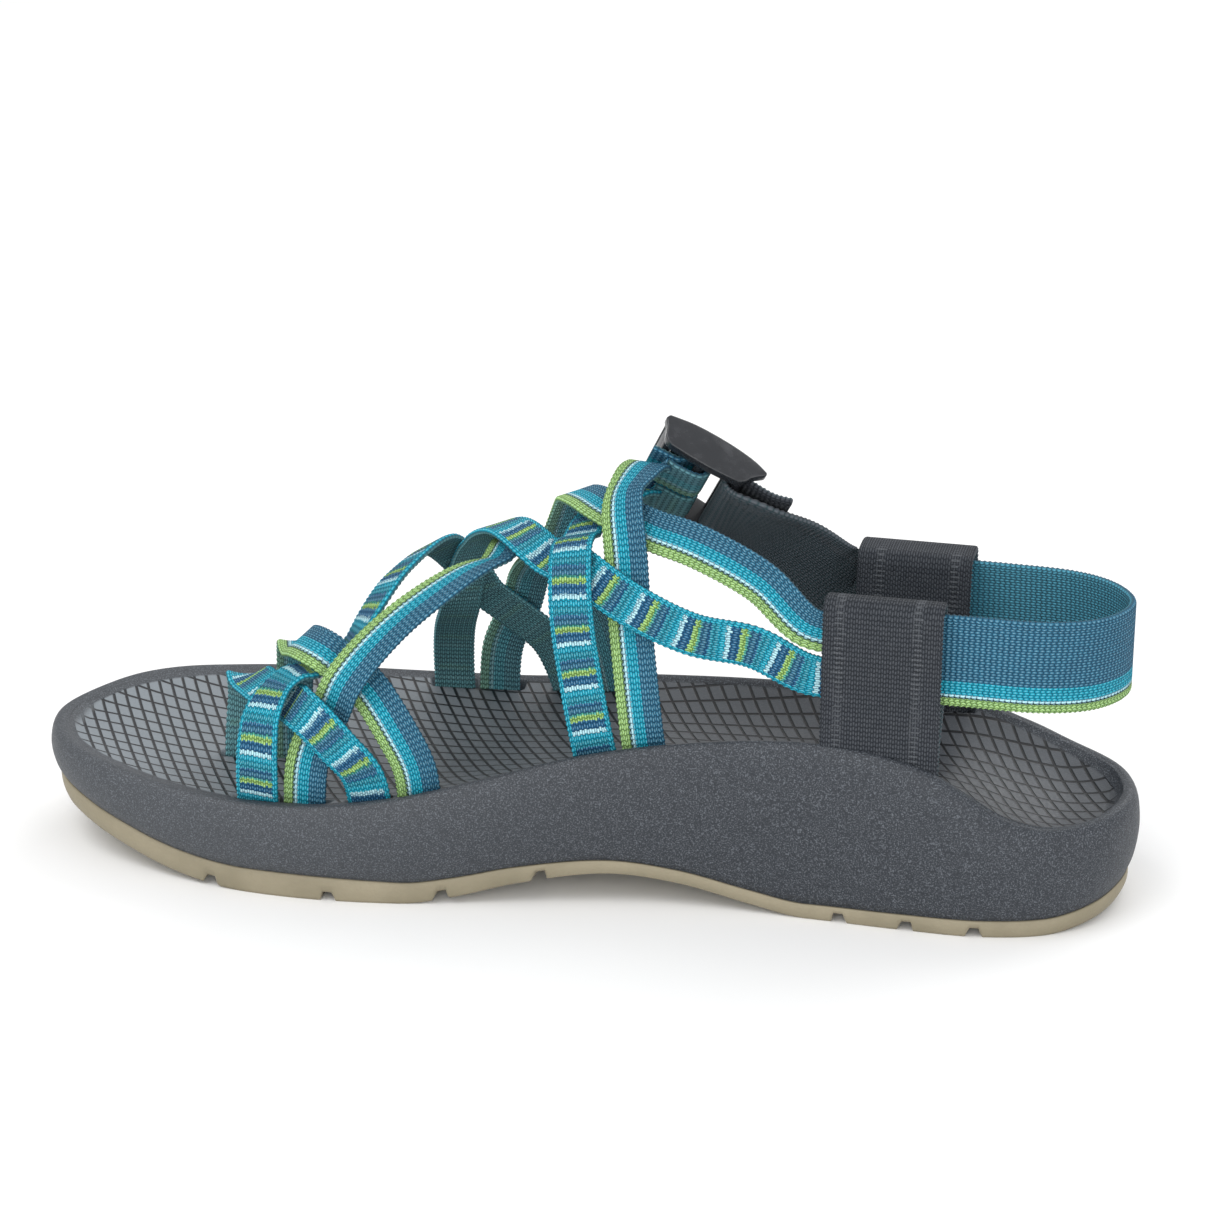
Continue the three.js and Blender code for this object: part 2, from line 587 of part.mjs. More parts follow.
// The eight runs over the foot, each with its places before the crossings bend it.
const RUNS = {
  patterned_instep: { node: "patterned_instep_strap", line: places(patternedInstep(), 46) },
  striped_instep: { node: "striped_instep_strap", line: places(stripedInstep(), 46) },
  patterned_forefoot: { node: "patterned_forefoot_strap", line: places(patternedForefoot(), 60) },
  striped_forefoot: { node: "striped_forefoot_strap", line: places(stripedForefoot(), 60) },
  patterned_toe: { node: "patterned_toe_loop", line: places(patternedToeLoop(), 48) },
  striped_toe: { node: "striped_toe_loop", line: places(stripedToeLoop(), 48) },
  patterned_heel: { node: "patterned_heel_run", line: places(patternedHeelRun(), 64) },
  striped_heel: { node: "striped_heel_run", line: places(stripedHeelRun(), 64) },
};

const narrow = (line) => band(line, WEB_WIDTH, WEB_THICKNESS);

// A run's places moved off or towards the form by its rises, its flat side following the bend.
function moved(run, rises) {
  const spots = RUNS[run].line.map(({ at, normal }, i) => at.clone().addScaledVector(normal, rises[run][i]));
  return RUNS[run].line.map(({ normal }, i) => {
    const tangent = spots[Math.min(i + 1, spots.length - 1)].clone().sub(spots[Math.max(i - 1, 0)]).normalize();
    const face = normal.clone().addScaledVector(tangent, -normal.dot(tangent)).normalize();
    return { at: spots[i], tangent, normal: face, across: new THREE.Vector3().crossVectors(tangent, face) };
  });
}

// How far one place of a band is short of lying clear on the far side of another band, over (1) or under (-1) it.
function lack(place, other, side) {
  return Math.max(0, ...[-1, 0, 1].map((edge) => {
    const spot = place.at.clone().addScaledVector(place.across, (edge * WEB_WIDTH) / 2);
    const near = other.reduce((a, b) => (b.at.distanceTo(spot) < a.at.distanceTo(spot) ? b : a));
    const away = spot.sub(near.at);
    const beside = Math.abs(away.dot(near.across)) > WEB_WIDTH / 2 + CROSSING_GAP;
    return beside || away.length() > WEB_WIDTH ? 0 : WEB_THICKNESS + CROSSING_GAP - side * away.dot(near.normal);
  }));
}

// Rises of every run: bands that cross are pushed apart until they lie on each other, and each bend is eased out.
function settledRises() {
  const rises = Object.fromEntries(Object.keys(RUNS).map((run) => [run, RUNS[run].line.map(() => 0)]));
  for (let round = 0; round < SETTLING_ROUNDS; round += 1) {
    const now = Object.fromEntries(Object.keys(RUNS).map((run) => [run, moved(run, rises)]));
    for (const [over, under] of CROSSINGS) {
      now[over].forEach((place, i) => (rises[over][i] += lack(place, now[under], 1) / 4));
      now[under].forEach((place, i) => (rises[under][i] -= lack(place, now[over], -1) / 4));
    }
    for (const run of Object.keys(RUNS)) {
      const last = rises[run].length - 1;
      rises[run] = rises[run].map((rise, i, all) => {
        return i === 0 || i === last ? 0 : 0.8 * rise + 0.1 * (all[i - 1] + all[i + 1]);
      });
    }
  }
  return rises;
}

const RISES = settledRises();
const wovenRun = (run) => narrow(moved(run, RISES));

// Webbing turned round the middle bar of the buckle, from the incoming side to the free side.
function buckleWrap(lane) {
  const r = WRAP_LEVEL;
  const m = MIDDLE_BAR_AT;
  const turn = [0, 45, 90, 135, 180].map((deg) => {
    const a = (deg * Math.PI) / 180;
    return buckleKnot(m - r * Math.sin(a), -r * Math.cos(a), lane, deg);
  });
  const down = [[m + 2.3, 2.2, 190], [m + 4.1, 0.6, 205], [m + 5.5, TAIL_LEVEL - 0.15, 185]];
  return [buckleKnot(m + 5.45, -r, lane), ...turn, ...down.map(([u, n, a]) => buckleKnot(u, n, lane, a))];
}

function tail(lane) {
  return [buckleKnot(RUN_END + 0.45, TAIL_LEVEL, lane), buckleKnot(RUN_END + TAIL_LENGTH, TAIL_LEVEL, lane)];
}

// ---- wide webbing ----
function heelStrap() {
  const [zm, zl] = [MEDIAL_STRAP_LEVEL, LATERAL_STRAP_LEVEL];
  const back = HALF_LENGTH - 4.7;
  const knots = [
    knot([RISER_FRONT + 10, MEDIAL_HEEL_Y, zm], [0, -1, 0]),
    knot([RISER_STATION, MEDIAL_HEEL_Y, zm], [0, -1, 0]),
    knot([RISER_REAR + 5, MEDIAL_HEEL_Y, zm], [0, -1, 0]),
    knot([back - 17.5, MEDIAL_HEEL_Y + 1.6 * WIDE, zm - 0.4], [0.35, -0.94, 0]),
    knot([back - 7, MEDIAL_HEEL_Y + 8 * WIDE, zm - 1.2], [0.72, -0.69, 0]),
    knot([back - 1.2, -4.5 * WIDE, zm - 2], [0.96, -0.28, 0]),
    knot([back - 0.4, 6 * WIDE, zm - 2.8], [0.98, 0.2, 0]),
    knot([back - 5.6, 17 * WIDE, zm - 3.6], [0.8, 0.6, 0]),
    knot([back - 15, LATERAL_HEEL_Y - 3.2 * WIDE, zl + 0.6], [0.42, 0.91, 0]),
    knot([RISER_REAR + 8, LATERAL_HEEL_Y, zl], [0.02, 1, 0]),
    knot([RISER_STATION, LATERAL_HEEL_Y, zl], [0, 1, 0]),
    knot([RISER_FRONT + 10, LATERAL_HEEL_Y, zl], [0, 1, 0]),
  ];
  return band(places(knots, 48), HEEL_STRAP_WIDTH, HEEL_STRAP_THICKNESS);
}

// A riser: webbing coming up out of the sole, folded over the straps it holds, and back down. The straps are
// held at a level and reach above and below it; the loop closes underneath them.
function riser(side, outer, gap, level, { above, below, closing }) {
  const top = level + above;
  const open = level - below;
  const shut = open - closing;
  const inner = outer - side * (gap + RISER_THICKNESS);
  const foot = outer - side * (RISER_THICKNESS + 0.7);
  const low = TUNNEL_LEVEL + 2;
  const fold = top - RISER_THICKNESS / 2;
  const x = RISER_STATION;
  const spots = [
    [outer, low, 1, 0], [outer, 30, 1, 0], [outer, open, 1, 0], [outer, fold - 2.4, 1, 0],
    [outer - side * 0.7, fold - 0.6, 0.7, 0.7], [(outer + inner) / 2, fold, 0, 1],
    [inner + side * 0.7, fold - 0.6, -0.7, 0.7], [inner, fold - 2.4, -1, 0], [inner, open, -1, 0],
    [foot, shut, -1, 0], [foot, 30, -1, 0], [foot, low, -1, 0],
  ];
  const knots = spots.map(([y, z, ny, nz]) => knot([x, y, z], [0, ny * side, nz]));
  return band(places(knots, 60), RISER_WIDTH, RISER_THICKNESS);
}

function riserRoom(side, outer) {
  const middle = outer - side * (RISER_THICKNESS / 2 + 0.35);
  return block([RISER_STATION, middle, 36], [RISER_WIDTH + 1.6, 2 * RISER_THICKNESS + 0.7 + 1.2, 50]);
}

function riserAnchor(grow = 0) {
  const a = MEDIAL_OUTER_LEG + 1.2 - grow * 2;
  const b = LATERAL_OUTER_LEG - 1.2 + grow * 2;
  const centre = [RISER_STATION, (a + b) / 2, TUNNEL_LEVEL];
  return block(centre, [RISER_WIDTH + grow, b - a, RISER_THICKNESS + grow]);
}

function buckleStrap() {
  const r = BAR_RADIUS + 0.3 + BUCKLE_STRAP_THICKNESS / 2;
  const z = LATERAL_STRAP_LEVEL - 1.2;
  const turn = [0, 45, 90, 135, 180].map((deg) => {
    const a = (deg * Math.PI) / 180;
    return buckleKnot(REAR_BAR_AT + r * Math.sin(a), -r * Math.cos(a), 0, -deg);
  });
  const knots = [
    knot([RISER_REAR - 3, BUCKLE_STRAP_Y, z], [0, 1, 0]),
    knot([RISER_STATION, BUCKLE_STRAP_Y, z], [0, 1, 0]),
    knot([RISER_FRONT + 3, BUCKLE_STRAP_Y, z], [0, 1, 0]),
    knot([RISER_FRONT, BUCKLE_STRAP_Y, z], [0, 1, 0]),
    knot([RISER_FRONT - 3.5, BUCKLE_STRAP_Y - 0.1, z + 0.5], [0, 1, 0]),
    laid([51, 27.6, z + 6.6], [0.04, 0.985, 0.14]), laid([43, 20.8, z + 16], [0.01, 0.85, 0.52]),
    buckleKnot(1, -2, 0), ...turn, buckleKnot(2.4, 1.8, 0, 177), buckleKnot(-2.5, 1.5, 0, 184),
    buckleKnot(-7, 2.5, 0, 194),
  ];
  return band(places(knots, 60), BUCKLE_STRAP_WIDTH, BUCKLE_STRAP_THICKNESS);
}

// ---- buckle ----
function buckle() {
  const arch = [[1.5, 3.9], [5, 5.3], [10, 6.4], [16, 7.1], [22, 7.3], [BUCKLE_LENGTH, 6.7]];
  const side = new THREE.Shape([
    ...arch.map(([u, n]) => new THREE.Vector2(u, n)), new THREE.Vector2(BUCKLE_LENGTH + 0.6, 5.6),
    new THREE.Vector2(27.4, 3.4), new THREE.Vector2(27, 0.8), new THREE.Vector2(24.6, -0.8),
    new THREE.Vector2(15, -2), new THREE.Vector2(6, -2), new THREE.Vector2(4.4, 0.6), new THREE.Vector2(1.5, 2.8),
  ]);
  const skin = (from, to) => {
    const part = arch.filter(([u]) => u >= from && u <= to);
    const shape = [...part, ...part.map(([u, n]) => [u, n - 1.6]).reverse()];
    const plate = new THREE.Shape(shape.map(([u, n]) => new THREE.Vector2(u, n)));
    return new THREE.ExtrudeGeometry(plate, { depth: BUCKLE_INSIDE + 2, bevelEnabled: false });
  };
  const rail = (w) => {
    const made = new THREE.ExtrudeGeometry(side, { depth: BUCKLE_RAIL, bevelEnabled: false });
    return placedOnBuckle(made.translate(0, 0, w));
  };
  const bar = (u, n) => {
    const rod = new THREE.CylinderGeometry(BAR_RADIUS, BAR_RADIUS, BUCKLE_INSIDE + 2, 14);
    return placedOnBuckle(rod.rotateX(Math.PI / 2).translate(u, n, 0));
  };
  const centre = -(BUCKLE_INSIDE / 2 + 1);
  return joinAll([
    rail(BUCKLE_INSIDE / 2), rail(-BUCKLE_INSIDE / 2 - BUCKLE_RAIL), bar(REAR_BAR_AT, 0),
    bar(MIDDLE_BAR_AT, 0), bar(FRONT_BAR_AT, FRONT_BAR_LEVEL), placedOnBuckle(skin(4.5, 10.5).translate(0, 0, centre)),
    placedOnBuckle(skin(21, BUCKLE_LENGTH).translate(0, 0, centre)),
    placedOnBuckle(new THREE.BoxGeometry(1.8, 4.4, BUCKLE_INSIDE + 2).translate(26.3, 4.2, 0)),
  ]);
}

// ---- the whole sandal ----
function midsole() {
  const pairs = [[TOE_SLOT, TOE_POST_SLOT], [BALL_SLOT, OUTER_FRONT_SLOT], [ARCH_SLOT, OUTER_REAR_SLOT]];
  const rooms = pairs.flatMap(([a, b]) => [slotRoom(a), slotRoom(b), tunnelRoom(a, b)]);
  const risers = [riserRoom(-1, MEDIAL_OUTER_LEG), riserRoom(1, LATERAL_OUTER_LEG), riserAnchor(1.4)];
  return cutAll(midsoleBlank(), [...rooms, ...risers]);
}

const FINISH = {
  midsole: ["#3a4048", 0.85, 0], outsole: ["#a8946f", 0.7, 0], patterned: ["#1f8fa0", 0.9, 0],
  striped: ["#2f7f93", 0.9, 0], heel: ["#2a7488", 0.9, 0], black: ["#17191c", 0.92, 0],
  plastic: ["#26292d", 0.4, 0],
};

const root = new THREE.Group();
root.name = "strappy_sandal";

function addPiece(name, body, finish) {
  const [color, roughness, metalness] = FINISH[finish];
  const mesh = body.getMesh();
  const corners = new Float32Array(mesh.triVerts.length * 3);
  mesh.triVerts.forEach((v, i) => {
    const start = v * mesh.numProp;
    corners.set(mesh.vertProperties.subarray(start, start + 3), i * 3);
  });
  const geometry = new THREE.BufferGeometry();
  geometry.setAttribute("position", new THREE.BufferAttribute(corners, 3));
  geometry.computeVertexNormals();
  const piece = new THREE.Mesh(geometry, new THREE.MeshStandardMaterial({ color, roughness, metalness }));
  piece.name = name;
  root.add(piece);
}

addPiece("midsole", midsole(), "midsole");
addPiece("outsole", outsole(), "outsole");
for (const run of Object.keys(RUNS)) addPiece(RUNS[run].node, wovenRun(run), run.split("_")[0]);
const TUNNELS = [["toe", TOE_SLOT, TOE_POST_SLOT], ["ball", BALL_SLOT, OUTER_FRONT_SLOT], ["arch", ARCH_SLOT, OUTER_REAR_SLOT]];
for (const [place, from, to] of TUNNELS) {
  addPiece(`patterned_${place}_tunnel_run`, hiddenRun(from, to, 0), "patterned");
  addPiece(`striped_${place}_tunnel_run`, hiddenRun(from, to, 1), "striped");
}
for (const name of ["patterned", "striped"]) {
  addPiece(`${name}_buckle_wrap`, narrow(places(buckleWrap(LANE[name]), 26)), name);
  addPiece(`${name}_free_end`, narrow(places(tail(LANE[name]), 4)), name);
}
addPiece("heel_strap", heelStrap(), "heel");
const MEDIAL_GAP = WEB_THICKNESS + HEEL_STRAP_THICKNESS + 3 * FIT_GAP;
const LATERAL_GAP = BUCKLE_STRAP_THICKNESS + HEEL_STRAP_THICKNESS + 3 * FIT_GAP + STRAP_LEAN_ROOM;
const MEDIAL_HALF = Math.max(HEEL_STRAP_WIDTH, WEB_PITCH + WEB_WIDTH) / 2;
const LATERAL_HALF = Math.max(HEEL_STRAP_WIDTH, BUCKLE_STRAP_WIDTH) / 2;
const MEDIAL_HOLD = { above: MEDIAL_HALF + 2.75, below: MEDIAL_HALF + 2.25, closing: 7.5 };
const LATERAL_HOLD = { above: LATERAL_HALF + 2.3, below: LATERAL_HALF + 1, closing: 8.5 };
addPiece("medial_riser", riser(-1, MEDIAL_OUTER_LEG, MEDIAL_GAP, MEDIAL_STRAP_LEVEL, MEDIAL_HOLD), "black");
addPiece("lateral_riser", riser(1, LATERAL_OUTER_LEG, LATERAL_GAP, LATERAL_STRAP_LEVEL, LATERAL_HOLD), "black");
addPiece("riser_anchor_webbing", riserAnchor(), "black");
addPiece("buckle_strap", buckleStrap(), "black");
addPiece("buckle", buckle(), "plastic");

export default root;
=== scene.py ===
"""Looks of a strappy sport sandal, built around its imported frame.

The sandal is a set of sub-assemblies: the sole, the narrow webbings woven over the foot, the wide
webbings at the heel, and the buckle. Lengths in the size fields are millimetres; meshes are metres.
"""

import json
import logging
import math
from dataclasses import dataclass, field
from enum import Enum

import bmesh
import bpy
import numpy as np
from mathutils import Matrix, Vector


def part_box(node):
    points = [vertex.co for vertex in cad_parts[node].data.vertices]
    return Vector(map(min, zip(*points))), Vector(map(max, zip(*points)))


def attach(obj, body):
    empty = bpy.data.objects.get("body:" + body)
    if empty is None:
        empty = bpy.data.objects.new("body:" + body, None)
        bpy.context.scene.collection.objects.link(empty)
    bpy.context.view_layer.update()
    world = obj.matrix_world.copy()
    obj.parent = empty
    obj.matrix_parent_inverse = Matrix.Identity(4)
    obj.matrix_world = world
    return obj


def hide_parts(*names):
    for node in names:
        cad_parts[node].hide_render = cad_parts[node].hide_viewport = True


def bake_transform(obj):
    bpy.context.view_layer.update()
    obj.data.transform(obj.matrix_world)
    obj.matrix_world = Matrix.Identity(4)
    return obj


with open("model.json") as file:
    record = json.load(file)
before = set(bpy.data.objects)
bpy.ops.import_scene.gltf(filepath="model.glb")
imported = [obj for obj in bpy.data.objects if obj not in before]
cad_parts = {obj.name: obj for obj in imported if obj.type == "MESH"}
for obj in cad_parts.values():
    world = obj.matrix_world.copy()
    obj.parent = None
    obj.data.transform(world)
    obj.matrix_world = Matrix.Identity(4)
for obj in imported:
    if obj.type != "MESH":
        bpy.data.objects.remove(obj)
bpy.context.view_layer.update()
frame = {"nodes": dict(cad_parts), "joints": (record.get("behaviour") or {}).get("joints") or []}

MM = 0.001
SAME_POINT = 1e-6
ROOT = "sole_and_straps"
LOG = logging.getLogger("sandal")

Array = np.ndarray
Colour = tuple[float, float, float]
Triple = tuple[float, float, float]
Socket = bpy.types.NodeSocket
Material = bpy.types.Material
Object = bpy.types.Object


# ---- curves and surfaces ----


def smoothstep(low: float, high: float, value: Array) -> Array:
    """Cubic step: 0 below low, 1 above high, 3t^2 - 2t^3 between."""
    t = np.clip((value - low) / (high - low), 0.0, 1.0)
    return t * t * (3.0 - 2.0 * t)


def cubic(t: Array, p0: Array, m0: Array, p1: Array, m1: Array) -> Array:
    """Hermite piece from p0 to p1, leaving at slope m0 and arriving at slope m1, for t from 0 to 1."""
    t2, t3 = t * t, t * t * t
    return (2 * t3 - 3 * t2 + 1) * p0 + (t3 - 2 * t2 + t) * m0 + (3 * t2 - 2 * t3) * p1 + (t3 - t2) * m1


def hermite(place: Array, value: Array, slope: Array, at: Array) -> Array:
    """Cubic pieces through values with given slopes.

    Args:
        place: Increasing places, N of them.
        value: Values there, N rows.
        slope: Slopes there, N rows.
        at: Places wanted.

    Returns:
        One row of values for each wanted place.
    """
    i = np.clip(np.searchsorted(place, at, side="right") - 1, 0, len(place) - 2)
    step = place[i + 1] - place[i]
    t = np.clip((at - place[i]) / step, 0.0, 1.0)
    if value.ndim > 1:
        t, step = t[:, None], step[:, None]
    return cubic(t, value[i], step * slope[i], value[i + 1], step * slope[i + 1])


def profile(pairs: list[tuple[float, float]], at: Array) -> Array:
    """Smooth curve through (place, value) pairs, slopes taken from each pair's two neighbours.

    Args:
        pairs: Places and values, in order of place.
        at: Places wanted; past the ends the end value holds.

    Returns:
        The value at each wanted place.
    """
    place, value = np.array(pairs, float).T
    before = np.maximum(np.arange(len(place)) - 1, 0)
    after = np.minimum(np.arange(len(place)) + 1, len(place) - 1)
    slope = (value[after] - value[before]) / (place[after] - place[before])
    clipped = np.clip(at, place[0], place[-1])
    return hermite(place, value, slope, clipped.ravel()).reshape(np.shape(at))


def closed_curve(points: Array, per_piece: int) -> Array:
    """Centripetal Catmull-Rom ring: knots grow by the square root of each chord.

    Args:
        points: The ring's points, N rows.
        per_piece: Samples on each piece.

    Returns:
        N times per_piece points along the ring.
    """
    before, after = np.roll(points, 1, axis=0), np.roll(points, -1, axis=0)
    d0 = np.linalg.norm(points - before, axis=1, keepdims=True) ** 0.5
    d1 = np.roll(d0, -1, axis=0)
    slope = (points - before) / d0 - (after - before) / (d0 + d1) + (after - points) / d1
    t = (np.arange(per_piece) / per_piece)[None, :, None]
    arrive = (np.roll(slope, -1, axis=0) * d1)[:, None]
    ring = cubic(t, points[:, None], (slope * d1)[:, None], after[:, None], arrive)
    return ring.reshape(-1, points.shape[1])


def unit(rows: Array) -> Array:
    """Each row divided by its length."""
    return rows / np.maximum(np.linalg.norm(rows, axis=-1, keepdims=True), 1e-12)


def walked(points: Array) -> Array:
    """Distance walked along a chain of points, one value for each point."""
    return np.concatenate([[0.0], np.cumsum(np.linalg.norm(np.diff(points, axis=0), axis=1))])


def linked(name: str, data: bpy.types.ID) -> Object:
    """A new object that holds the data, linked to the scene."""
    made = bpy.data.objects.new(name, data)
    bpy.context.scene.collection.objects.link(made)
    return made


def new_object(name: str, points: Array, faces: list[list[int]], attributes: dict[str, Array]) -> Object:
    """A smooth-shaded mesh object at the origin, its faces turned outwards.

    Args:
        name: Name of the object and its mesh.
        points: Points in millimetres.
        faces: Lists of point numbers.
        attributes: Values per point: a column for a float attribute, three for a vector one.

    Returns:
        The new object, linked to the scene.
    """
    mesh = bpy.data.meshes.new(name)
    mesh.from_pydata((points * MM).tolist(), [], faces)
    for key, values in attributes.items():
        kind, field_name = ("FLOAT", "value") if values.ndim == 1 else ("FLOAT_VECTOR", "vector")
        column = mesh.attributes.new(key, kind, "POINT")
        column.data.foreach_set(field_name, values.astype(np.float32).ravel())
    tidy = bmesh.new()
    tidy.from_mesh(mesh)
    bmesh.ops.remove_doubles(tidy, verts=tidy.verts, dist=SAME_POINT)
    bmesh.ops.recalc_face_normals(tidy, faces=tidy.faces)
    tidy.to_mesh(mesh)
    tidy.free()
    mesh.polygons.foreach_set("use_smooth", np.ones(len(mesh.polygons), bool))
    return linked(name, mesh)


def ring_faces(rows: int, around: int, capped: bool = True) -> list[list[int]]:
    """Quads between matching rings of points, with a cap on each end.

    Args:
        rows: Number of rings.
        around: Points in each ring.
        capped: Whether the first and last ring are closed by one face each.

    Returns:
        Lists of point numbers.
    """
    index = np.arange(rows * around).reshape(rows, around)
    here, there = index[:-1], index[1:]
    corners = [here, there, np.roll(there, -1, 1), np.roll(here, -1, 1)]
    quads = np.stack(corners, axis=-1).reshape(-1, 4).tolist()
    return quads + ([index[0][::-1].tolist(), index[-1].tolist()] if capped else [])


def place_piece(piece: Object, material: Material, nodes: list[str]) -> None:
    """Gives a piece its material and lets it stand for CAD nodes."""
    piece.data.materials.append(material)
    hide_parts(*nodes)
    LOG.info("%s: %d faces, stands for %s", piece.name, len(piece.data.polygons), nodes)


def dress(node: str, material: Material) -> None:
    """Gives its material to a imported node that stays."""
    slots = frame["nodes"][node].data.materials
    slots.clear()
    slots.append(material)


# ---- shader building ----


class Shader:
    """A material's node tree, with short calls for the nodes the finishes use."""

    def __init__(self, name: str) -> None:
        """Starts a material with one Principled surface."""
        self.material = bpy.data.materials.new(name)
        self.material.use_nodes = True
        self.tree = self.material.node_tree
        self.surface = self.tree.nodes["Principled BSDF"]

    def node(self, kind: str, inputs: dict | None = None, **settings: object) -> bpy.types.Node:
        """Adds a node.

        Args:
            kind: Node type.
            inputs: Input name or number to a constant or a socket.
            **settings: Properties set on the node.

        Returns:
            The node.
        """
        made = self.tree.nodes.new(kind)
        for key, value in settings.items():
            setattr(made, key, value)
        for key, value in (inputs or {}).items():
            self.feed(made.inputs[key], value)
        return made

    def feed(self, socket: Socket, value: object) -> None:
        """Links a socket, or sets its constant."""
        if isinstance(value, Socket):
            self.tree.links.new(value, socket)
        else:
            socket.default_value = value

    def math(self, operation: str, a: object, b: object = 0.0) -> Socket:
        """One Math node's result."""
        return self.node("ShaderNodeMath", {0: a, 1: b}, operation=operation).outputs[0]

    def plus(self, a: object, b: object) -> Socket:
        """Sum of two values."""
        return self.math("ADD", a, b)

    def times(self, a: object, b: object) -> Socket:
        """Product of two values."""
        return self.math("MULTIPLY", a, b)

    def remap(self, value: object, low: float, high: float, out_low: float = 0.0,
              out_high: float = 1.0) -> Socket:
        """A smooth step of a value between two limits, scaled to two results."""
        inputs = {"Value": value, "From Min": low, "From Max": high, "To Min": out_low, "To Max": out_high}
        return self.node("ShaderNodeMapRange", inputs, interpolation_type="SMOOTHSTEP").outputs[0]

    def mix(self, share: object, a: object, b: object, blend: str = "MIX") -> Socket:
        """Colours mixed by a share; colours are given as linear (r, g, b)."""
        made = self.node("ShaderNodeMix", data_type="RGBA", blend_type=blend)
        for number, value in ((0, share), (6, a), (7, b)):
            self.feed(made.inputs[number], (*value, 1.0) if isinstance(value, tuple) else value)
        return made.outputs[2]

    def steps(self, place: object, stops: list[tuple[float, Colour]]) -> Socket:
        """Colour that changes in steps along a place from 0 to 1."""
        made = self.node("ShaderNodeValToRGB", {0: place})
        ramp = made.color_ramp
        ramp.interpolation = "CONSTANT"
        for number, (at, colour) in enumerate(stops):
            stop = ramp.elements[number] if number < 2 else ramp.elements.new(at)
            stop.position = at
            stop.color = (*colour, 1.0)
        return made.outputs[0]

    def place(self) -> Socket:
        """Place in the piece's own space, in metres."""
        return self.node("ShaderNodeTexCoord").outputs["Object"]

    def noise(self, scale: float, detail: float = 2.0) -> Socket:
        """Noise over the piece's own space."""
        inputs = {"Vector": self.place(), "Scale": scale, "Detail": detail}
        return self.node("ShaderNodeTexNoise", inputs).outputs[0]

    def attribute(self, name: str) -> bpy.types.Node:
        """The piece's own attribute."""
        return self.node("ShaderNodeAttribute", attribute_name=name)

    def finish(self, colour: object, roughness: object, height: object, depth_mm: float,
               **constants: float) -> Material:
        """Wires the surface and returns the material.

        Args:
            colour: Base colour.
            roughness: Roughness.
            height: Bump height from 0 to 1.
            depth_mm: What a height of 1 stands for.
            **constants: Further surface sockets, named with spaces as underscores.

        Returns:
            The finished material.
        """
        bump = self.node("ShaderNodeBump", {"Height": height, "Distance": depth_mm * MM, "Strength": 1.0})
        self.feed(self.surface.inputs["Base Color"], (*colour, 1.0) if isinstance(colour, tuple) else colour)
        self.feed(self.surface.inputs["Roughness"], roughness)
        self.feed(self.surface.inputs["Normal"], bump.outputs[0])
        for key, value in constants.items():
            self.surface.inputs[key.replace("_", " ")].default_value = value
        return self.material


class Weave(Enum):
    """The colourways of the webbing."""

    PATTERNED = "patterned_webbing"
    STRIPED = "striped_webbing"
    HEEL = "heel_webbing"
    BLACK = "black_webbing"


GREEN: Colour = (0.34, 0.56, 0.17)
DARK_GREEN: Colour = (0.008, 0.055, 0.055)
PALE: Colour = (0.46, 0.76, 0.82)
CYAN: Colour = (0.002, 0.36, 0.49)
TEAL: Colour = (0.026, 0.155, 0.255)
DEEP_BLUE: Colour = (0.009, 0.12, 0.25)
LIME: Colour = (0.32, 0.54, 0.13)
SEA: Colour = (0.012, 0.28, 0.37)
# The reverse face's own colour, lifted as painted light for inner faces that lie in shade.
REVERSE_WITH_PAINTED_LIGHT: Colour = (0.15, 0.35, 0.38)
BLACK: Colour = (0.028, 0.033, 0.041)
WORN_BLACK: Colour = (0.056, 0.062, 0.072)
STITCH: Colour = (0.12, 0.13, 0.145)

# Factors on the webbing's colour: a deeper tone for some threads at random, painted shade deep in the valleys
# between threads and a touch of painted light on the crests; and the colour of the reverse's low places,
# painted shade there.
THREAD_SHADE: Colour = (0.5, 0.55, 0.62)
VALLEY_SHADE: Colour = (0.22, 0.27, 0.33)
CREST_SHADE: Colour = (1.06, 1.06, 1.06)
REVERSE_VALLEY_SHADE: Colour = (0.035, 0.08, 0.09)

# Colour stops across each webbing, from the edge at share 0, or along one repeat of the cross bands.
ACROSS: dict[Weave, list[tuple[float, Colour]]] = {
    Weave.STRIPED: [(0.0, GREEN), (0.24, DARK_GREEN), (0.275, PALE), (0.35, CYAN), (0.60, TEAL)],
    Weave.HEEL: [(0.0, GREEN), (0.105, DARK_GREEN), (0.12, PALE), (0.145, CYAN), (0.29, TEAL)],
}
CROSS_BANDS: list[tuple[float, Colour]] = [
    (0.0, PALE), (0.1, DEEP_BLUE), (0.3, LIME), (0.42, (0.05, 0.33, 0.24)), (0.47, TEAL), (0.62, DEEP_BLUE),
    (0.68, SEA), (0.85, CYAN),
]


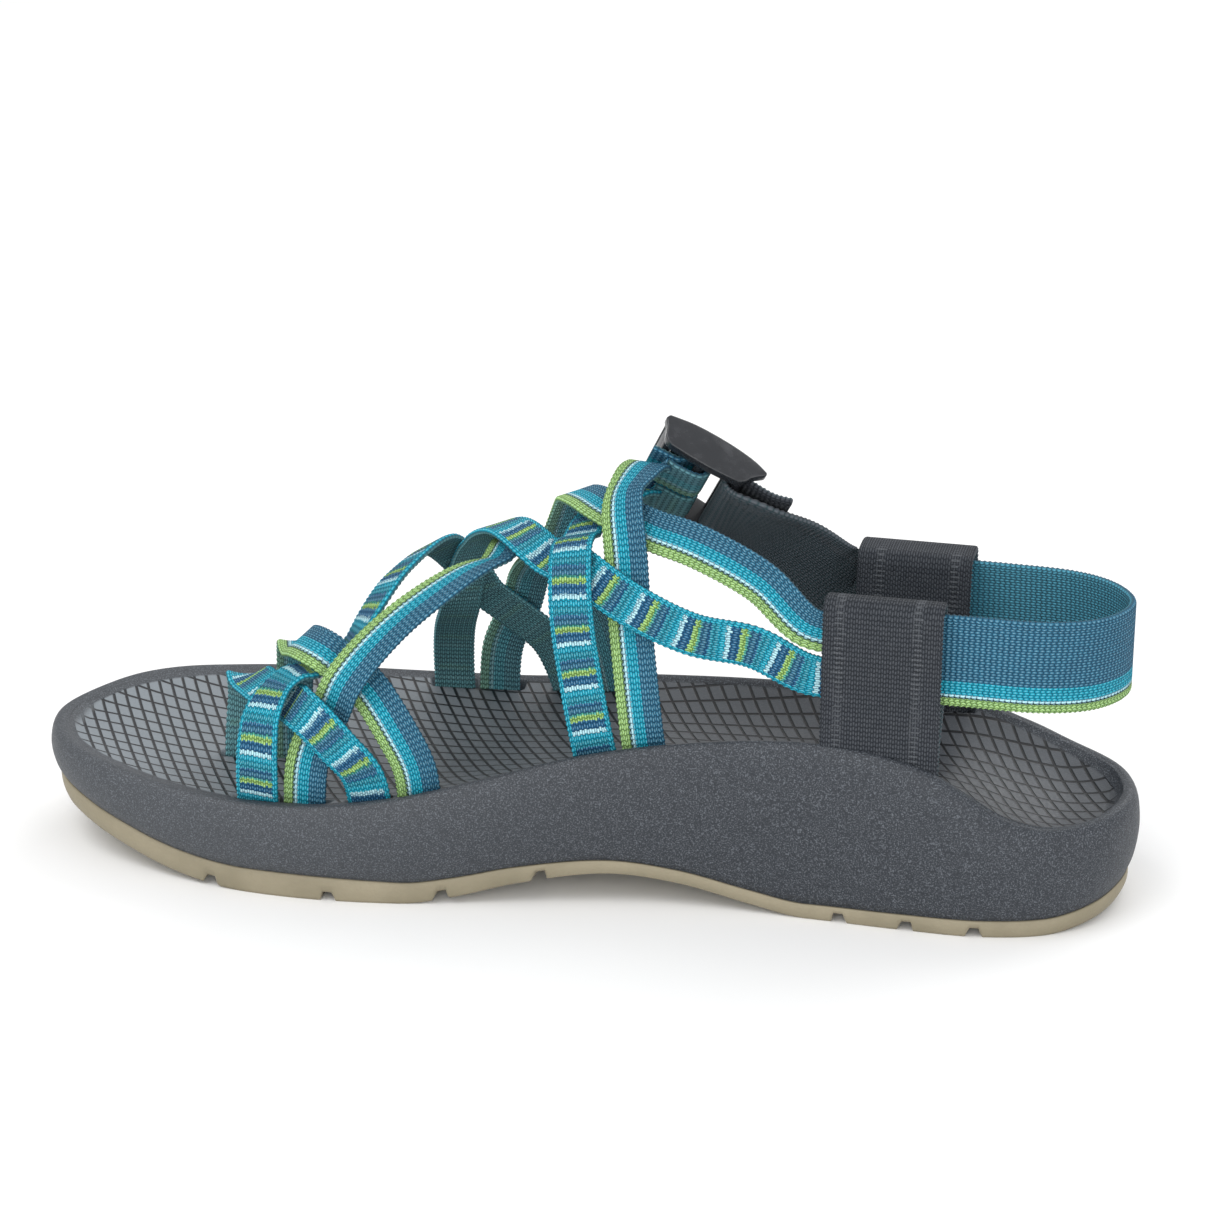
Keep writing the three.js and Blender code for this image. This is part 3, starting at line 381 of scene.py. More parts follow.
@dataclass(frozen=True)
class WebbingFinish:
    """Woven tape: colour laid out on its own length and width, with threads that stand proud.

    The attribute "weave" holds millimetres along, millimetres across and 1 on the outer face.
    """

    weave: Weave
    width: float
    pick: float = 1.4
    thread: float = 0.58
    repeat: float = 11.3
    selvedge: float = 1.15
    depth: float = 0.3
    seams: tuple[float, ...] = ()

    def build(self) -> Material:
        """The material of this tape."""
        sh = Shader(self.weave.value)
        weave = sh.attribute("weave").outputs["Vector"]
        along, across, outer = sh.node("ShaderNodeSeparateXYZ", {0: weave}).outputs
        share = sh.math("DIVIDE", across, self.thread)
        column = sh.math("FLOOR", share)
        stagger = sh.times(sh.math("PINGPONG", column, 1.0), 0.22)
        row = sh.plus(sh.math("DIVIDE", along, self.pick), stagger)
        round_row, round_thread = (sh.math("ABSOLUTE", sh.math("SINE", sh.times(turn, math.pi)))
                                   for turn in (row, share))
        height = sh.times(sh.math("POWER", round_row, 0.7), sh.math("POWER", round_thread, 0.6))
        cell = sh.node("ShaderNodeCombineXYZ", {0: column, 1: sh.math("FLOOR", row)}).outputs[0]
        chance = sh.node("ShaderNodeTexWhiteNoise", {"Vector": cell}, noise_dimensions="2D").outputs[0]
        fibres = sh.noise(3200.0, 3.0)
        place = sh.plus(sh.math("DIVIDE", across, self.width), 0.5)
        waver = sh.times(sh.math("SUBTRACT", round_row, 0.5), 0.35 / self.width)
        colour = self.face(sh, along, sh.plus(place, waver), stagger, column)
        darker = sh.mix(1.0, colour, THREAD_SHADE, "MULTIPLY")
        varied = sh.mix(sh.times(chance, 0.45), colour, darker)
        # Painted highlight: pale dashes on the thread crests, where they would catch the light.
        crest = sh.times(sh.remap(height, 0.72, 1.0), sh.times(fibres, 0.62))
        lit = sh.mix(crest, varied, sh.mix(0.55, varied, self.crest_highlight()))
        # Painted shade: the valleys between threads made deeper, the crests a touch brighter.
        depths = sh.mix(sh.remap(height, 0.0, 0.7), VALLEY_SHADE, CREST_SHADE)
        shaded = sh.mix(1.0, lit, depths, "MULTIPLY")
        # Inner face: its crest colour lifted as painted light, with painted shade in its low places.
        back = sh.mix(self.back_share(), shaded, sh.mix(height, REVERSE_VALLEY_SHADE, self.reverse()))
        shown = sh.mix(outer, back, shaded)
        grain = sh.plus(height, sh.times(fibres, 0.3))
        for seam in self.seams:
            off = sh.math("ABSOLUTE", sh.math("SUBTRACT", across, seam))
            near = sh.remap(sh.plus(off, chance), 1.0, 1.9, 1.0, 0.0)
            dash = sh.remap(sh.math("PINGPONG", along, 0.6), 0.22, 0.42)
            stitch = sh.times(near, dash)
            shown = sh.mix(sh.times(stitch, 0.6), shown, STITCH)
            grain = sh.plus(grain, stitch)
        return sh.finish(shown, 0.72, grain, self.depth, Specular_IOR_Level=0.3)

    def crest_highlight(self) -> Colour:
        """Colour of the painted highlight on the thread crests."""
        return (0.16, 0.17, 0.19) if self.weave is Weave.BLACK else (0.62, 0.86, 0.92)

    def reverse(self) -> Colour:
        """Colour of the inner face's crests, lifted as painted light where the inner faces lie in shade."""
        return {Weave.BLACK: (0.12, 0.135, 0.155), Weave.HEEL: (0.08, 0.40, 0.54)}.get(self.weave, REVERSE_WITH_PAINTED_LIGHT)

    def back_share(self) -> float:
        """How much of the pattern the inner face hides."""
        return {Weave.PATTERNED: 0.93, Weave.STRIPED: 0.7, Weave.HEEL: 0.6, Weave.BLACK: 0.7}[self.weave]

    def face(self, sh: Shader, along: object, place: object, stagger: object, column: object) -> Socket:
        """Colour of the outer face.

        Args:
            sh: The shader under construction.
            along: Millimetres along the tape.
            place: Share of the width, wavering with the picks.
            stagger: Share of a pick by which every other thread lies further on.
            column: Number of the thread.

        Returns:
            The colour socket.
        """
        if self.weave is Weave.BLACK:
            return sh.mix(sh.noise(500.0), BLACK, WORN_BLACK)
        if self.weave is not Weave.PATTERNED:
            return sh.steps(place, ACROSS[self.weave])
        wave = sh.math("DIVIDE", sh.plus(along, sh.times(stagger, 1.1)), self.repeat)
        thread_shift = sh.node("ShaderNodeTexWhiteNoise", {"W": column}, noise_dimensions="1D").outputs[0]
        ragged = sh.plus(wave, sh.times(thread_shift, 0.035))
        bands = sh.steps(sh.math("FRACT", ragged), CROSS_BANDS)
        from_edge = sh.math("ABSOLUTE", sh.math("SUBTRACT", place, 0.5))
        limit = 0.5 - self.selvedge / self.width
        return sh.mix(sh.math("GREATER_THAN", from_edge, limit), bands, CYAN)


@dataclass(frozen=True)
class FoamFinish:
    """Grained polyurethane of the midsole, with the footbed's diamond tread where "tread" is 1."""

    row_pitch: float = 4.7
    slant_pitch: float = 3.05
    slant: float = 62.0
    groove: float = 0.3

    def build(self) -> Material:
        """The material of the midsole."""
        sh = Shader("midsole_foam")
        x, y, _ = sh.node("ShaderNodeSeparateXYZ", {0: sh.place()}).outputs
        tread = sh.attribute("tread").outputs["Fac"]
        angle = math.radians(self.slant)
        slanted = sh.plus(sh.times(x, math.sin(angle)), sh.times(y, math.cos(angle)))
        rows = sh.math("PINGPONG", y, self.row_pitch / 2 * MM)
        slants = sh.math("PINGPONG", slanted, self.slant_pitch / 2 * MM)
        near = sh.math("MINIMUM", rows, slants)
        face = sh.remap(near, (self.groove - 0.12) * MM, (self.groove + 0.16) * MM)
        flat = sh.math("MAXIMUM", face, sh.math("SUBTRACT", 1.0, tread))
        grain = sh.noise(3000.0, 1.5)
        speck = sh.noise(1500.0, 4.0)
        # Painted light: the foam and its tread faces are painted paler towards the toe and deeper towards the
        # heel, where shade falls.
        toe = sh.remap(x, -0.13, 0.06, 1.0, 0.0)
        body = sh.mix(sh.remap(grain, 0.44, 0.78), (0.016, 0.020, 0.027), (0.115, 0.128, 0.147))
        toe_lit_body = sh.mix(sh.times(toe, 0.2), body, (0.16, 0.17, 0.18))
        # Painted light: the tread faces are painted paler than the foam body, as if catching light at a
        # glancing angle.
        faces = sh.mix(toe, (0.085, 0.092, 0.103), (0.23, 0.26, 0.285))
        lit_tread_faces = sh.mix(sh.times(tread, 0.8), toe_lit_body, faces)
        # Painted shade: the grooves between the diamonds are painted near-black, where shade falls in them.
        groove_shaded = sh.mix(flat, (0.009, 0.010, 0.012), lit_tread_faces)
        height = sh.plus(flat, sh.times(sh.plus(grain, speck), 0.14))
        rough = sh.math("SUBTRACT", sh.remap(speck, 0.3, 0.7, 0.5, 0.66), sh.times(tread, 0.12))
        return sh.finish(groove_shaded, rough, height, 0.4, Specular_IOR_Level=0.45)


@dataclass(frozen=True)
class RubberFinish:
    """Gum rubber of the outsole, dusty in flecks that follow its grain."""

    def build(self) -> Material:
        """The material of the outsole."""
        sh = Shader("gum_rubber")
        cloud, grain = sh.noise(60.0, 4.0), sh.noise(1500.0, 3.0)
        tone = sh.mix(sh.remap(cloud, 0.3, 0.7), (0.23, 0.205, 0.135), (0.31, 0.275, 0.19))
        colour = sh.mix(sh.times(grain, 0.4), tone, (0.24, 0.19, 0.13))
        return sh.finish(colour, sh.remap(cloud, 0.2, 0.8, 0.55, 0.72), grain, 0.12)


@dataclass(frozen=True)
class PlasticFinish:
    """Moulded dark acetal of the buckle, faintly pitted and scuffed."""

    def build(self) -> Material:
        """The material of the buckle."""
        sh = Shader("buckle_acetal")
        pits, scuff = sh.noise(2400.0, 2.0), sh.noise(180.0, 6.0)
        colour = sh.mix(sh.remap(scuff, 0.5, 0.75), (0.018, 0.020, 0.024), (0.036, 0.039, 0.045))
        return sh.finish(colour, sh.remap(scuff, 0.35, 0.7, 0.16, 0.32), pits, 0.05, Specular_IOR_Level=0.55)


# ---- webbing ----


@dataclass
class Sections:
    """Cross-sections of a tape in order: centres, across directions and outer normals."""

    at: Array
    across: Array
    normal: Array

    def __add__(self, other: "Sections") -> "Sections":
        """These sections followed by others."""
        both = zip((self.at, self.across, self.normal), (other.at, other.across, other.normal))
        return Sections(*(np.concatenate(pair) for pair in both))

    def part(self, start: int, stop: int | None) -> "Sections":
        """The sections from one number to another."""
        return Sections(self.at[start:stop], self.across[start:stop], self.normal[start:stop])


@dataclass(frozen=True)
class TapeNode:
    """A packed band that a tape follows: its size, which end comes first, and how it faces there."""

    node: str
    width: float
    thickness: float
    first_axis: int
    first_sign: int
    facing: Triple
    tolerance: float = 6e-4

    def sections(self) -> Sections:
        """Reads the band's cross-sections off its mesh.

        A cross-section is four points joined by two edges as long as the thickness and two as long
        as the width; sections are neighbours where a mesh edge joins them.

        Returns:
            The sections from the first end to the last.
        """
        mesh = frame["nodes"][self.node].data
        co = np.empty(len(mesh.vertices) * 3)
        mesh.vertices.foreach_get("co", co)
        loops = np.empty(len(mesh.loops), int)
        mesh.loops.foreach_get("vertex_index", loops)
        points, number = np.unique(np.round(co.reshape(-1, 3) / MM, 4), axis=0, return_inverse=True)
        faces = number.reshape(-1)[loops].reshape(-1, 3)
        edges = np.concatenate([faces[:, [0, 1]], faces[:, [1, 2]], faces[:, [2, 0]]])
        length = np.linalg.norm(points[edges[:, 0]] - points[edges[:, 1]], axis=1)
        joined = self.table(len(points), edges, length > 0)
        thin = self.table(len(points), edges, np.abs(length - self.thickness) < self.tolerance)
        wide = self.table(len(points), edges, np.abs(length - self.width) < self.tolerance)
        wide = wide & (thin.astype(int) @ wide @ thin > 0)
        thin = thin & (wide.astype(int) @ thin @ wide > 0)
        near = (thin | wide | np.eye(len(points), dtype=bool)).astype(float)
        corner = np.linalg.matrix_power(near, 3) > 0
        groups = np.unique([np.flatnonzero(row) for row in corner], axis=0)
        member = np.zeros((len(groups), len(points)))
        np.put_along_axis(member, groups, 1.0, axis=1)
        order = self.walk((member @ joined @ member.T > 0) & ~np.eye(len(groups), dtype=bool), points[groups])
        return self.oriented(points, thin, wide, groups[order])

    @staticmethod
    def table(size: int, edges: Array, keep: Array) -> Array:
        """Symmetric table of the kept edges."""
        made = np.zeros((size, size), bool)
        made[edges[keep, 0], edges[keep, 1]] = True
        return made | made.T

    def walk(self, beside: Array, corners: Array) -> Array:
        """Numbers of the sections in order, found by their distance in steps from the first end.

        Args:
            beside: Which sections are neighbours.
            corners: Corner points of each section.

        Returns:
            Section numbers from first to last.
        """
        ends = np.flatnonzero(beside.sum(1) == 1)
        score = corners[ends].mean(1)[:, self.first_axis] * self.first_sign
        reached = np.full(len(beside), -1)
        front = np.zeros(len(beside), bool)
        front[ends[np.argmax(score)]] = True
        for step in range(len(beside)):
            reached[front] = step
            front = beside[front].any(0) & (reached < 0)
        return np.argsort(reached)

    def oriented(self, points: Array, thin: Array, wide: Array, groups: Array) -> Sections:
        """Sections with normals that keep to one side, starting as the band faces."""
        first = groups[:, 0]
        at = points[groups].mean(1)
        normal = unit(points[thin[first].argmax(1)] - points[first])
        across = unit(points[wide[first].argmax(1)] - points[first])
        turn = np.sign(np.einsum("ij,ij->i", normal[1:], normal[:-1]))
        start = np.sign(normal[0] @ np.array(self.facing))
        normal = normal * np.cumprod(np.concatenate([[start], turn]))[:, None]
        tangent = unit(np.gradient(at, axis=0))
        side = np.sign(np.einsum("ij,ij->i", np.cross(tangent, normal), across))
        return Sections(at, across * side[:, None], normal)


@dataclass
class Tape:
    """A woven tape of rounded section, swept along sections at a fine step."""

    name: str
    sections: Sections
    width: float
    thickness: float
    finish: Material
    slot: str
    replaced: list[str]
    step: float = 0.3
    pick: float = 1.4
    rib: float = 0.08
    scallop: float = 0.12
    columns: int = 15
    green_first: bool = True

    # Degrees above and below the middle at which points stand round each edge.
    EDGE_TURNS = (60, 20, -20, -60)

    def outline(self) -> tuple[Array, Array, Array]:
        """Points round the section: flat faces with edges rounded by a half circle.

        Returns:
            Across and normal offsets of each point, and 1 for the outer face.
        """
        r = self.thickness / 2
        flat = np.linspace(-1, 1, self.columns) * (self.width / 2 - r)
        bend = np.radians(self.EDGE_TURNS)
        edge, face = self.width / 2 - r + r * np.cos(bend), np.full(self.columns, r)
        across = np.concatenate([flat, edge, flat[::-1], -edge])
        normal = np.concatenate([face, r * np.sin(bend), -face, -r * np.sin(bend)])
        outer = np.concatenate([np.ones(self.columns), [1, 1, 0, 0], np.zeros(self.columns), [0, 0, 1, 1]])
        return across, normal, outer

    def build(self) -> Object:
        """Sweeps the outline along the sections.

        A point is centre + (a + scallop) across + (b + rib) normal, where the rib and the scallop
        are a small wave with one crest for each pick of the weave.

        Returns:
            The tape's object.
        """
        s = self.sections
        chord = walked(s.at)
        along = np.linspace(0, chord[-1], max(4, int(chord[-1] / self.step)))
        centre, normal = (hermite(chord, rows, np.gradient(rows, chord, axis=0), along)
                          for rows in (s.at, s.normal))
        tangent = unit(np.gradient(centre, along, axis=0))
        normal = unit(normal - np.sum(normal * tangent, axis=1, keepdims=True) * tangent)
        across = np.cross(tangent, normal)
        a, b, outer = self.outline()
        wave = np.cos(2 * np.pi * along / self.pick)[:, None]
        edge = np.sign(a) * (np.abs(a) > self.width / 2 - self.thickness)
        beside = a[None] + self.scallop * wave * edge[None] - self.scallop * edge[None]
        above = b[None] * (1 + self.rib * wave / (self.thickness / 2)) - np.sign(b)[None] * self.rib
        grid = centre[:, None] + beside[..., None] * across[:, None] + above[..., None] * normal[:, None]
        flip = 1.0 if self.green_first else -1.0
        shape = grid.shape[:2]
        weave = np.stack([np.broadcast_to(along[:, None], shape), np.broadcast_to(a * flip, shape),
                          np.broadcast_to(outer, shape)], axis=-1)
        points = grid.reshape(-1, 3)
        piece = new_object(self.name, points, ring_faces(*shape), {"weave": weave.reshape(-1, 3)})
        place_piece(piece, self.finish, self.replaced)
        return piece


@dataclass
class BuckleFrame:
    """Place and axes of the buckle, read off its joints: forward to the lip, out of the foot, and across."""

    rear_bar: float = 7.0
    middle_bar: float = 16.5
    front_bar: float = 25.5
    origin: Array = field(init=False)
    axes: Array = field(init=False)

    def __post_init__(self) -> None:
        """Reads the hinge on the rear bar and the slide along the strap."""
        joints = {j["name"]: j for j in frame["joints"]}
        sideways = unit(np.array(joints["buckle_tilt"]["axis"]))
        forward = unit(np.array(joints["striped_free_end_pull"]["axis"]))
        self.axes = np.stack([forward, np.cross(sideways, forward), sideways])
        self.origin = np.array(joints["buckle_tilt"]["pos_m"]) / MM - self.rear_bar * forward

    def spot(self, forward: Array, out: Array, side: Array) -> Array:
        """Points of the sandal from places in the buckle's own axes."""
        local = np.stack(np.broadcast_arrays(forward, out, side), axis=-1)
        return self.origin + local @ self.axes


@dataclass
class NarrowWebbings:
    """The two narrow tapes woven over the foot, each run with its way over the buckle's bar."""

    buckle: BuckleFrame
    width: float = 10.5
    thickness: float = 1.6
    turn_sections: int = 13

    # Runs on the sole's body: axis and sign of the first end, the side it faces there, and whether
    # green lies first across it.
    RUNS = {
        "forefoot_strap": ((1, -1), (0, -1, 0), True),
        "toe_loop": ((0, -1), (0, 1, 0), False),
        "heel_run": ((0, -1), (0, 1, 0), False),
    }

    def build(self) -> None:
        """Builds every run of both tapes."""
        for weave in (Weave.PATTERNED, Weave.STRIPED):
            finish = WebbingFinish(weave, self.width).build()
            kind = weave.value.split("_")[0]
            self.instep(kind, finish)
            for part in self.RUNS:
                self.run(kind, part, finish)
            for place in ("toe", "ball", "arch"):
                dress(f"{kind}_{place}_tunnel_run", finish)

    def read(self, node: str, first: tuple[int, int], facing: Triple) -> Sections:
        """Sections of one packed band of this tape."""
        return TapeNode(node, self.width, self.thickness, *first, facing).sections()

    def run(self, kind: str, part: str, finish: Material) -> None:
        """Builds a run that stays on the sole's body."""
        node = f"{kind}_{part}"
        first, facing, green_first = self.RUNS[part]
        tape = Tape(f"{node}_tape", self.read(node, first, facing), self.width, self.thickness, finish,
                    f"{kind}_webbing", [node], green_first=green_first)
        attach(tape.build(), ROOT)

    def instep(self, kind: str, finish: Material) -> None:
        """Builds the instep run with its turn round the buckle's bar, and the free end after the turn."""
        run = self.read(f"{kind}_instep_strap", (1, -1), (0, -1, 0))
        wrap = self.read(f"{kind}_buckle_wrap", (2, -1), (0, 1, 0.5))
        gaps = np.linalg.norm(wrap.at[[0, -1]] - run.at[-1], axis=1)
        if gaps[0] >= gaps[1]:
            wrap = Sections(wrap.at[::-1], -wrap.across[::-1], wrap.normal[::-1])
        if wrap.normal[0] @ run.normal[-1] < 0:
            wrap = Sections(wrap.at, -wrap.across, -wrap.normal)
        free = self.read(f"{kind}_free_end", (0, 1), (0, -1, -0.5))
        turn = self.turn_sections
        slot = f"{kind}_webbing"
        main = Tape(f"{kind}_instep_tape", run.part(0, -1) + wrap.part(1, turn), self.width, self.thickness,
                    finish, slot, [f"{kind}_instep_strap", f"{kind}_buckle_wrap"]).build()
        bar = self.buckle.middle_bar
        low, high = self.buckle.spot(bar, -3.4, 0.0) * MM, self.buckle.spot(bar, 1.0, 0.0) * MM
        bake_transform(main)
        rest = wrap.part(turn - 1, -1) + free.part(1, None)
        tail = Tape(f"{kind}_free_tape", rest, self.width, self.thickness, finish, slot,
                    [f"{kind}_free_end"]).build()
        low = self.buckle.spot(bar + 0.5, 0.0, 0.0) * MM
        high = self.buckle.spot(self.buckle.front_bar - 2.0, 0.0, 0.0) * MM
        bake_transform(tail)


@dataclass
class HeelWebbings:
    """The wide tapes: heel strap, the two risers that hold it, and the buckle's strap."""

    heel_width: float = 22.5
    heel_thickness: float = 1.8
    riser_width: float = 28.0
    riser_thickness: float = 1.6
    strap_width: float = 23.4
    strap_thickness: float = 1.8

    @staticmethod
    def tape(band: TapeNode, finish: Material, slot: str, **weave: float) -> Object:
        """The tape that stands for one packed band."""
        return Tape(f"{band.node}_tape", band.sections(), band.width, band.thickness, finish, slot,
                    [band.node], **weave).build()

    def build(self) -> None:
        """Builds the four tapes."""
        heel = WebbingFinish(Weave.HEEL, self.heel_width, pick=1.3, thread=0.66).build()
        black = WebbingFinish(Weave.BLACK, self.strap_width, pick=1.15, thread=0.62, seams=(-8.6,)).build()
        sewn = WebbingFinish(Weave.BLACK, self.riser_width, pick=1.15, thread=0.62, seams=(-9.8, 8.2)).build()
        band = TapeNode("heel_strap", self.heel_width, self.heel_thickness, 1, -1, (0, -1, 0))
        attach(self.tape(band, heel, "heel_webbing", pick=1.3, columns=25, green_first=False), "heel_strap")
        for side, sign in (("medial", -1), ("lateral", 1)):
            band = TapeNode(f"{side}_riser", self.riser_width, self.riser_thickness, 1, sign, (0, sign, 0))
            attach(self.tape(band, sewn, "black_webbing", step=0.28, pick=1.15, columns=31), ROOT)
        band = TapeNode("buckle_strap", self.strap_width, self.strap_thickness, 0, 1, (0, 1, 0))
        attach(self.tape(band, black, "black_webbing", step=0.28, pick=1.15, columns=27), ROOT)
        dress("riser_anchor_webbing", black)


# ---- sole ----


@dataclass
class Sole:
    """Midsole with its footbed, and the outsole under it, as lofts between the two sides of one outline."""

    stations: int = 420
    top_columns: int = 150
    wall_rows: int = 20
    arch_rim: float = 45.0
    heel_rim: float = 28.0
    outsole_thickness: float = 5.5
    outsole_gap: float = 0.3
    toe_spring: float = 12.0
    arch_lift: float = 8.0
    rim_width: float = 4.4
    groove_width: float = 3.0
    groove_depth: float = 2.2
    slot_depth: float = 6.0
    highest_slot: float = 25.0
    foot_inset: float = 2.2
    length: float = field(init=False)
    width: float = field(init=False)

    OUTLINE = [
        (-133, -8), (-128, -25), (-117, -35.5), (-100, -42.5), (-80, -46.8), (-60, -48), (-40, -46),
        (-20, -41.5), (0, -36.5), (20, -32.5), (40, -30.5), (60, -30.3), (80, -31), (100, -30.5),
        (116, -25.5), (128, -14.5), (133, 2), (128.5, 18), (116, 29), (100, 34), (80, 36.5), (60, 38.5),
        (40, 41), (20, 44), (0, 46.8), (-20, 48), (-40, 47), (-60, 44), (-80, 39), (-98, 32),
        (-114, 22.5), (-126, 9.5),
    ]
    # Stations of the notches, as shares of half the length.
    NOTCHES = (-0.62, -0.4, -0.2, -0.03, 0.5, 0.62, 0.74)
    # Inset in mm and share of the height, up the midsole's wall.
    WALL = [(2.2, 0.0), (0.8, 0.2), (0.0, 0.5), (0.35, 0.78), (1.3, 0.93), (2.9, 0.995), (4.4, 1.0)]
    # By station: the outsole's thickness as a share, the depth of the footbed's cup and its plain margin.
    OUTSOLE_SHARES = [(-1, 1), (-0.5, 1.15), (-0.2, 0.95), (0.1, 0.65), (0.5, 0.73), (1, 0.82)]
    CUP = [(-1, 1.5), (-0.8, 3), (-0.5, 3), (-0.2, 5), (0.1, 9), (0.4, 12), (0.6, 11), (0.8, 7), (1, 3)]
    MARGIN = [(-1, 7), (-0.8, 6.5), (-0.6, 6), (-0.2, 5.5), (0.6, 5.8), (0.9, 7), (1, 8)]

    def __post_init__(self) -> None:
        """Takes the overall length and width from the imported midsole."""
        low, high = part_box("midsole")
        self.length, self.width = (high.x - low.x) / MM, (high.y - low.y) / MM

    def share(self, x: Array) -> Array:
        """Station as a share of half the length, -1 at the toe."""
        return x / (self.length / 2)

    def medial_rim(self, x: Array) -> Array:
        """Height of the inner rim."""
        arch, heel = self.arch_rim - 25, self.heel_rim
        return profile([
            (-1, 28), (-0.86, 27), (-0.72, 25), (-0.56, 24), (-0.41, 25), (-0.26, 25 + 0.15 * arch),
            (-0.11, 25 + 0.4 * arch), (0.04, 25 + 0.67 * arch), (0.23, 25 + 0.88 * arch), (0.41, 25 + arch),
            (0.53, 25 + 0.98 * arch), (0.64, 25 + 0.83 * arch), (0.72, 25 + 0.55 * arch), (0.78, heel + 3),
            (0.87, heel - 0.5), (1, heel)], self.share(x))

    def lateral_rim(self, x: Array) -> Array:
        """Height of the outer rim."""
        heel = self.heel_rim
        return profile([
            (-1, 28), (-0.9, 29), (-0.73, 27.5), (-0.56, 26), (-0.38, 25), (-0.18, 25.5), (0.04, 29.5),
            (0.23, 32.5), (0.41, 34.5), (0.56, 35.5), (0.68, 35), (0.78, heel + 4), (0.87, heel + 1),
            (1, heel)], self.share(x))

    def ground(self, x: Array, across: Array) -> Array:
        """Underside: toe spring, plus the arch lift fading to the outer side as (1 - share)^1.5."""
        toe = profile([
            (-1, self.toe_spring), (-0.9, self.toe_spring * 0.79), (-0.82, self.toe_spring * 0.55),
            (-0.73, self.toe_spring * 0.27), (-0.64, self.toe_spring * 0.08), (-0.55, 0), (0.86, 0),
            (0.94, 1.5), (1, 4)], self.share(x))
        arch = profile([
            (-1, 0), (-0.27, 0), (-0.18, self.arch_lift * 0.22), (-0.07, self.arch_lift * 0.66),
            (0.08, self.arch_lift), (0.21, self.arch_lift * 0.78), (0.34, self.arch_lift * 0.28), (0.44, 0),
            (1, 0)], self.share(x))
        return np.maximum(toe, 0) + np.maximum(arch, 0) * (1 - across) ** 1.5

    def outsole_top(self, x: Array, across: Array) -> Array:
        """Upper face of the outsole."""
        thick = profile(self.OUTSOLE_SHARES, self.share(x))
        return self.ground(x, across) + self.outsole_thickness * thick

    def footbed(self, x: Array, across: Array, taper: Array) -> Array:
        """Top of the footbed: rims joined across, less a cup of depth d (1 - |2s - 1|^2.6)."""
        cup = profile(self.CUP, self.share(x))
        mix = 0.5 + (across - 0.5) * taper
        rims = self.medial_rim(x) * (1 - mix) + self.lateral_rim(x) * mix
        return rims - 0.8 - cup * (1 - np.abs(2 * across - 1) ** 2.6) * taper

    def sides(self, count: int) -> tuple[Array, Array]:
        """Both sides of the outline from toe tip to heel tip, equally spaced.

        Args:
            count: Number of steps.

        Returns:
            Medial and lateral rows of x, y, inward x, inward y.
        """
        ring = closed_curve(np.array(self.OUTLINE, float), 60)
        span = np.ptp(ring, axis=0)
        ring = ((ring - ring.min(0)) / span - 0.5) * np.array([self.length, self.width])
        looped = np.vstack([ring, ring[:1]])
        passed = walked(looped)
        toe, heel, total = passed[np.argmin(ring[:, 0])], passed[np.argmax(ring[:, 0])], passed[-1]

        def at(s: Array) -> Array:
            """Points of the outline by the distance walked round it."""
            return np.stack([np.interp(s % total, passed, looped[:, k]) for k in (0, 1)], axis=-1)

        rows = []
        for reach in ((heel - toe) % total, -((toe - heel) % total)):
            s = toe + reach * np.linspace(0, 1, count + 1)
            ahead = unit(at(s + 1.0) - at(s - 1.0))
            rows.append(np.column_stack([at(s), -ahead[:, 1], ahead[:, 0]]))
        return rows[0], rows[1]

    @staticmethod
    def inset(side: Array, depth: Array | float) -> Array:
        """Edge points moved inwards."""
        depths = np.broadcast_to(depth, (len(side), np.size(depth)))
        return side[:, None, :2] + side[:, None, 2:] * depths[..., None]

    @staticmethod
    def to_row_end(x: Array, y: Array, share: Array) -> Array:
        """Distance of each point to the nearer end of its row."""
        length = np.hypot(x[:, -1] - x[:, 0], y[:, -1] - y[:, 0])
        return np.minimum(share, 1 - share)[None] * length[:, None]

    def rows_across(self, medial: Array, lateral: Array, depth: float,
                    share: Array) -> tuple[Array, Array, Array]:
        """Points across the sole between both sides set in by a depth.

        Returns:
            x, y and the taper that brings the row to a point at the tips.
        """
        a, b = self.inset(medial, depth)[:, 0], self.inset(lateral, depth)[:, 0]
        taper = np.minimum(1, np.linalg.norm(b - a, axis=1) / 26)[:, None]
        spot = a[:, None] + (b - a)[:, None] * share[None, :, None]
        return spot[..., 0], spot[..., 1], np.broadcast_to(taper, spot.shape[:2])

    def wall(self, side: Array, rim: Array, foot: Array) -> Array:
        """Wall of the midsole from its foot to the edge of the footbed.

        The section is a smooth curve through inset and height pairs, and ends just below the rim.
        """
        keys = np.array(self.WALL)
        t = np.linspace(0, len(keys) - 1, self.wall_rows + 1)[:-1]
        curve = hermite(np.arange(len(keys), dtype=float), keys, np.gradient(keys, axis=0), t)
        xy = self.inset(side, curve[:, 0])
        drop = 0.8 * smoothstep(0.93, 1.0, curve[:, 1]) ** 2
        z = foot[:, None] + (rim - foot)[:, None] * curve[:, 1][None] - drop * smoothstep(4, 6, t)
        return np.dstack([xy, z])

